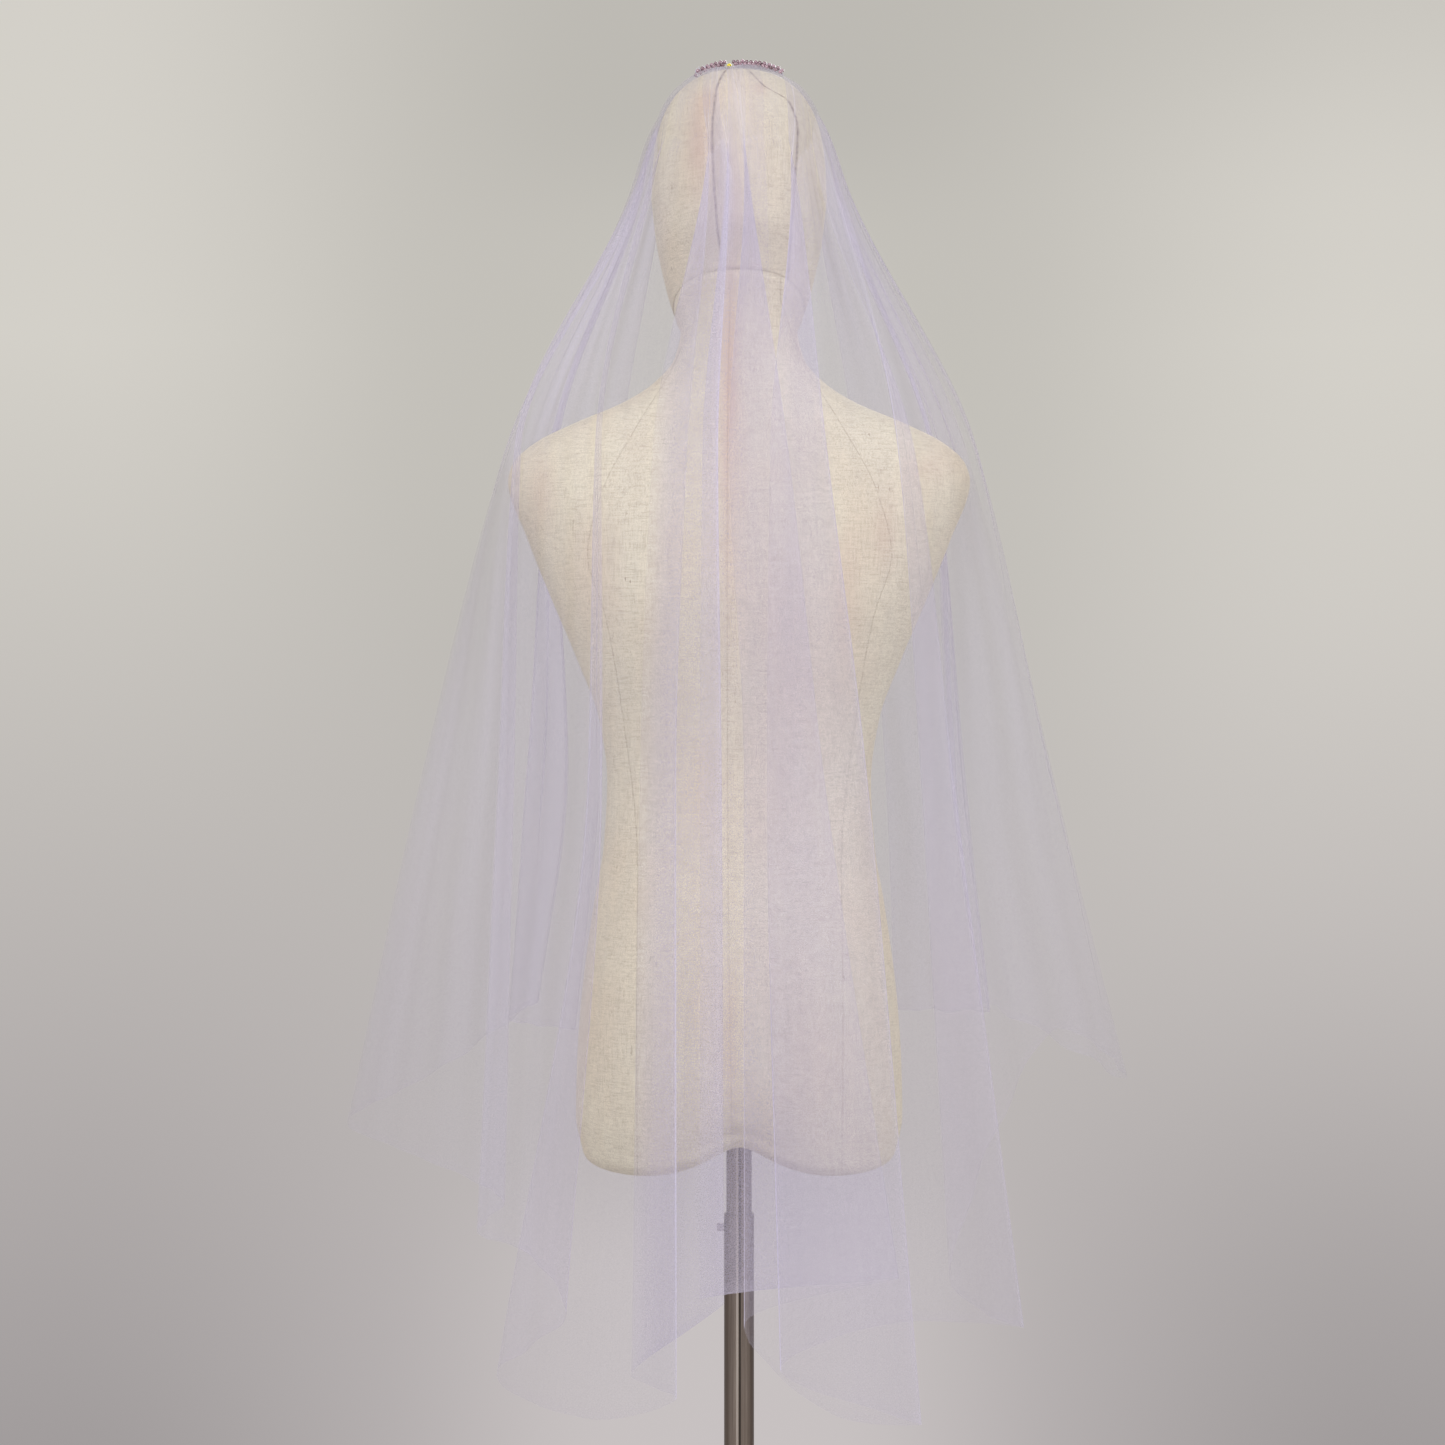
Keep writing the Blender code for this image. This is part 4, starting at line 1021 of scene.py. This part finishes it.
def make_veil(look):
    """The tulle panel: the solid's folds, finer and crisper, with small creases."""
    grid = across_folds(fold_lines(cloth_shares()), CLOTH_COLUMNS_PER_FOLD)
    space = np.minimum(grid[..., 3], CLEAR_MOST)
    grid = creased(grid[..., :3])
    grid = np.stack(clear_of_form(grid[..., 0], grid[..., 1], grid[..., 2], space), axis=-1)
    wide = np.linalg.norm(np.diff(grid, axis=0), axis=-1).max(axis=1)
    along = np.concatenate([[0], np.cumsum(wide)])
    drop = np.linalg.norm(np.diff(grid, axis=1), axis=-1)
    fall = np.concatenate([np.zeros((len(grid), 1)), np.cumsum(drop, axis=1)], axis=1)
    cloth = np.stack([np.broadcast_to(along[:, None], fall.shape), fall], axis=-1)
    cover, folded, painted_highlight = net_cover(grid)
    values = {"cover": cover, "fold": folded, "painted_highlight": painted_highlight}
    veil = grid_object("tulle_veil_panel", grid, look, values, cloth)
    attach(veil, "form")
    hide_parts("veil_panel")
    veil.visible_shadow = False


def ball(centre, radius, steps=8, sides=12):
    """Vertices and faces of a round bead."""
    x, y, z = centre
    rings = []
    for step in range(1, steps):
        turn = math.pi * step / steps
        rings.append(circle(radius * math.sin(turn), z - radius * math.cos(turn), sides, (x, y)))
    return loft(rings, (x, y, z - radius), (x, y, z + radius))


def joined(shapes):
    """Several sets of vertices and faces as one."""
    verts = []
    faces = []
    for some_verts, some_faces in shapes:
        start = len(verts)
        verts += some_verts
        faces += [tuple(start + v for v in face) for face in some_faces]
    return verts, faces


def make_beads(look):
    """Two close rows of small pearls along the heading, with a gap at the pin."""
    chance = np.random.default_rng(11)
    shapes = []
    lift = COMB_THICK + HEADING_THICK + 3 * GAP + BEAD_RADIUS
    for back, rise, first in BEAD_ROWS:
        for bead in range(BEAD_COUNT):
            share = 2 * (bead + first) / BEAD_COUNT - 1
            x = HEADING_HALF_LENGTH * share + chance.uniform(-BEAD_WANDER, BEAD_WANDER)
            if abs(x - PIN_X) < PIN_GAP:
                continue
            y = COMB_Y + back + chance.uniform(-BEAD_UNEVEN, BEAD_UNEVEN)
            fall = BEAD_END_FALL * (RIGHT_END_SHARE if share > 0 else 1.0) * abs(share) ** 3
            z = crown_height(x, y) + lift + rise - fall + chance.uniform(-BEAD_UNEVEN, BEAD_UNEVEN)
            shapes.append(ball((x, y, z), BEAD_RADIUS * chance.uniform(*BEAD_SIZES)))
    verts, faces = joined(shapes)
    beads = solid_object("pearl_bead_rows", verts, faces, look)
    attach(beads, "form")
    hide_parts("bead_row")


def make_heading(look):
    """Gathered band over the comb: fine pleats across it, and a small ruffle along its front edge."""
    grid = np.zeros((HEADING_COLUMNS, HEADING_ROWS, 3))
    uneven = smooth_noise(grid.shape[:2], seed=21, cells=(70, 3))
    for i, x in enumerate(np.linspace(-1, 1, HEADING_COLUMNS) * HEADING_HALF_LENGTH):
        wave = PLEAT_DEPTH * math.sin(i * 2 * math.pi / PLEAT_COLUMNS + PLEAT_WANDER * uneven[i, 0])
        ruffle = RUFFLE_RISE * (1 - PIN_NOTCH_DEPTH * math.exp(-(((x - PIN_X) / PIN_NOTCH) ** 4)))
        for j, share in enumerate(np.linspace(0, 1, HEADING_ROWS)):
            y = COMB_Y - HEADING_WIDTH / 2 + HEADING_WIDTH * HEADING_COVERED * share
            rise = COMB_THICK + 2 * GAP + HEADING_THICK / 2 + ruffle * share**RUFFLE_CURL
            rise += wave * (0.4 + share) + RUFFLE_UNEVEN * uneven[i, j] * share
            grid[i, j] = (x, y, crown_height(x, y) + rise)
    band = grid_object("gathered_heading_band", grid, look)
    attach(band, "form")
    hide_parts("veil_heading")


def make_floor():
    """Plain pale floor."""
    look = Nodes("floor_pale")
    grain = look.noise(look.place(), 30.0)
    tone = look.mix(look.ramp(grain, 0.3, 0.7), FLOOR_DARK, FLOOR_PALE)
    look.surface({"Base Color": tone, "Roughness": 0.9})
    verts = [(0, 0, 0)]
    for radius in FLOOR_RADII:
        verts += circle(radius, 0.0, FLOOR_SIDES)
    faces = []
    for s in range(FLOOR_SIDES):
        n = (s + 1) % FLOOR_SIDES
        faces.append((0, 1 + s, 1 + n))
        for ring in range(len(FLOOR_RADII) - 1):
            inner = 1 + ring * FLOOR_SIDES
            outer = inner + FLOOR_SIDES
            faces.append((inner + s, outer + s, outer + n, inner + n))
    floor = solid_object("floor", verts, faces, look.material, smooth=False)


def make_world():
    """Surroundings in the tones of the photo's wall, by direction: X to the right, Z up."""
    world = bpy.data.worlds.new("studio")
    world.use_nodes = True
    n = NodeTree(world.node_tree)

    def smooth(value, low, high):
        return n.ramp(value, low, high, run="SMOOTHSTEP")

    parts = n.add("SeparateXYZ", None, Vector=n.add("TexCoord").outputs["Generated"])
    up = parts.outputs["Z"]
    right = smooth(parts.outputs["X"], 0.03, 0.22)
    off_middle = n.maths("ABSOLUTE", parts.outputs["X"])
    near = n.maths("SUBTRACT", 1.0, smooth(off_middle, 0.03, 0.13))
    level = n.maths("DIVIDE", n.maths("ADD", up, 0.053), 0.193)
    level = n.maths("MAXIMUM", n.maths("MINIMUM", level, 1.0), -1.1)
    off_waist = n.maths("ABSOLUTE", n.maths("ADD", up, 0.02))
    terms = (
        (WORLD_SIDES, smooth(off_middle, 0.04, 0.24), level),
        (WORLD_RIGHT, right, smooth(off_waist, 0.2, 0.03)),
        (WORLD_RIGHT_TOP, right, smooth(up, 0.18, 0.28)),
        (WORLD_NECK, near, smooth(up, 0.03, 0.09), smooth(up, 0.23, 0.17)),
        (WORLD_BELOW, near, smooth(up, -0.15, -0.21)),
    )
    shade = 1.0
    for strength, *places in terms:
        shade = n.maths("ADD", shade, n.product(*places, strength))
    tint = n.mix(smooth(up, -0.25, 0.15), WORLD_LOW, WORLD_HIGH)
    paint = n.add("VectorMath", {"operation": "SCALE"}, n0=tint, Scale=shade)
    back = world.node_tree.nodes["Background"]
    n.put(back, "Color", paint.outputs[0])
    n.put(back, "Strength", 1.0)
    bpy.context.scene.world = world


def make_lights():
    """Round soft lights, each turned to what it is aimed at."""
    for name, place, aim, size, power in LIGHTS:
        light = bpy.data.lights.new(name, "AREA")
        light.shape = "DISK"
        light.size = size
        light.energy = power
        light.color = LIGHT_COLOUR
        holder = bpy.data.objects.new(name, light)
        bpy.context.scene.collection.objects.link(holder)
        holder.location = place
        way = np.array(aim) - np.array(place)
        turn = math.atan2(way[1], way[0]) - math.pi / 2
        tilt = math.atan2(math.hypot(way[0], way[1]), -way[2])
        holder.rotation_euler = (tilt, 0, turn)


def make_camera():
    """The photo's camera: level, straight behind the form."""
    data = bpy.data.cameras.new("camera")
    data.lens = CAMERA_LENS
    data.sensor_width = CAMERA_SENSOR
    data.sensor_fit = "HORIZONTAL"
    camera = bpy.data.objects.new("camera", data)
    camera.location = CAMERA_PLACE
    camera.rotation_euler = (math.pi / 2, 0, 0)
    bpy.context.scene.collection.objects.link(camera)
    bpy.context.scene.camera = camera


def dress_nodes(steel, base, clear, pin):
    """Better materials on the solids whose shape is already right."""
    for node, look in (
        ("stand_pole", steel),
        ("stand_sleeve", steel),
        ("stand_lock", base),
        ("stand_base", base),
        ("comb", clear),
        ("ball_pin", pin),
    ):
        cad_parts[node].material_slots[0].material = look


make_camera()
make_form(linen_material())
make_veil(tulle_material())
make_beads(pearl_material())
make_heading(ribbon_material())
dress_nodes(steel_material(), base_material(), comb_material(), pin_material())
make_floor()
make_world()
make_lights()
bpy.context.scene.cycles.transparent_max_bounces = CLEAR_LAYERS
bpy.context.scene.view_settings.view_transform = "Standard"
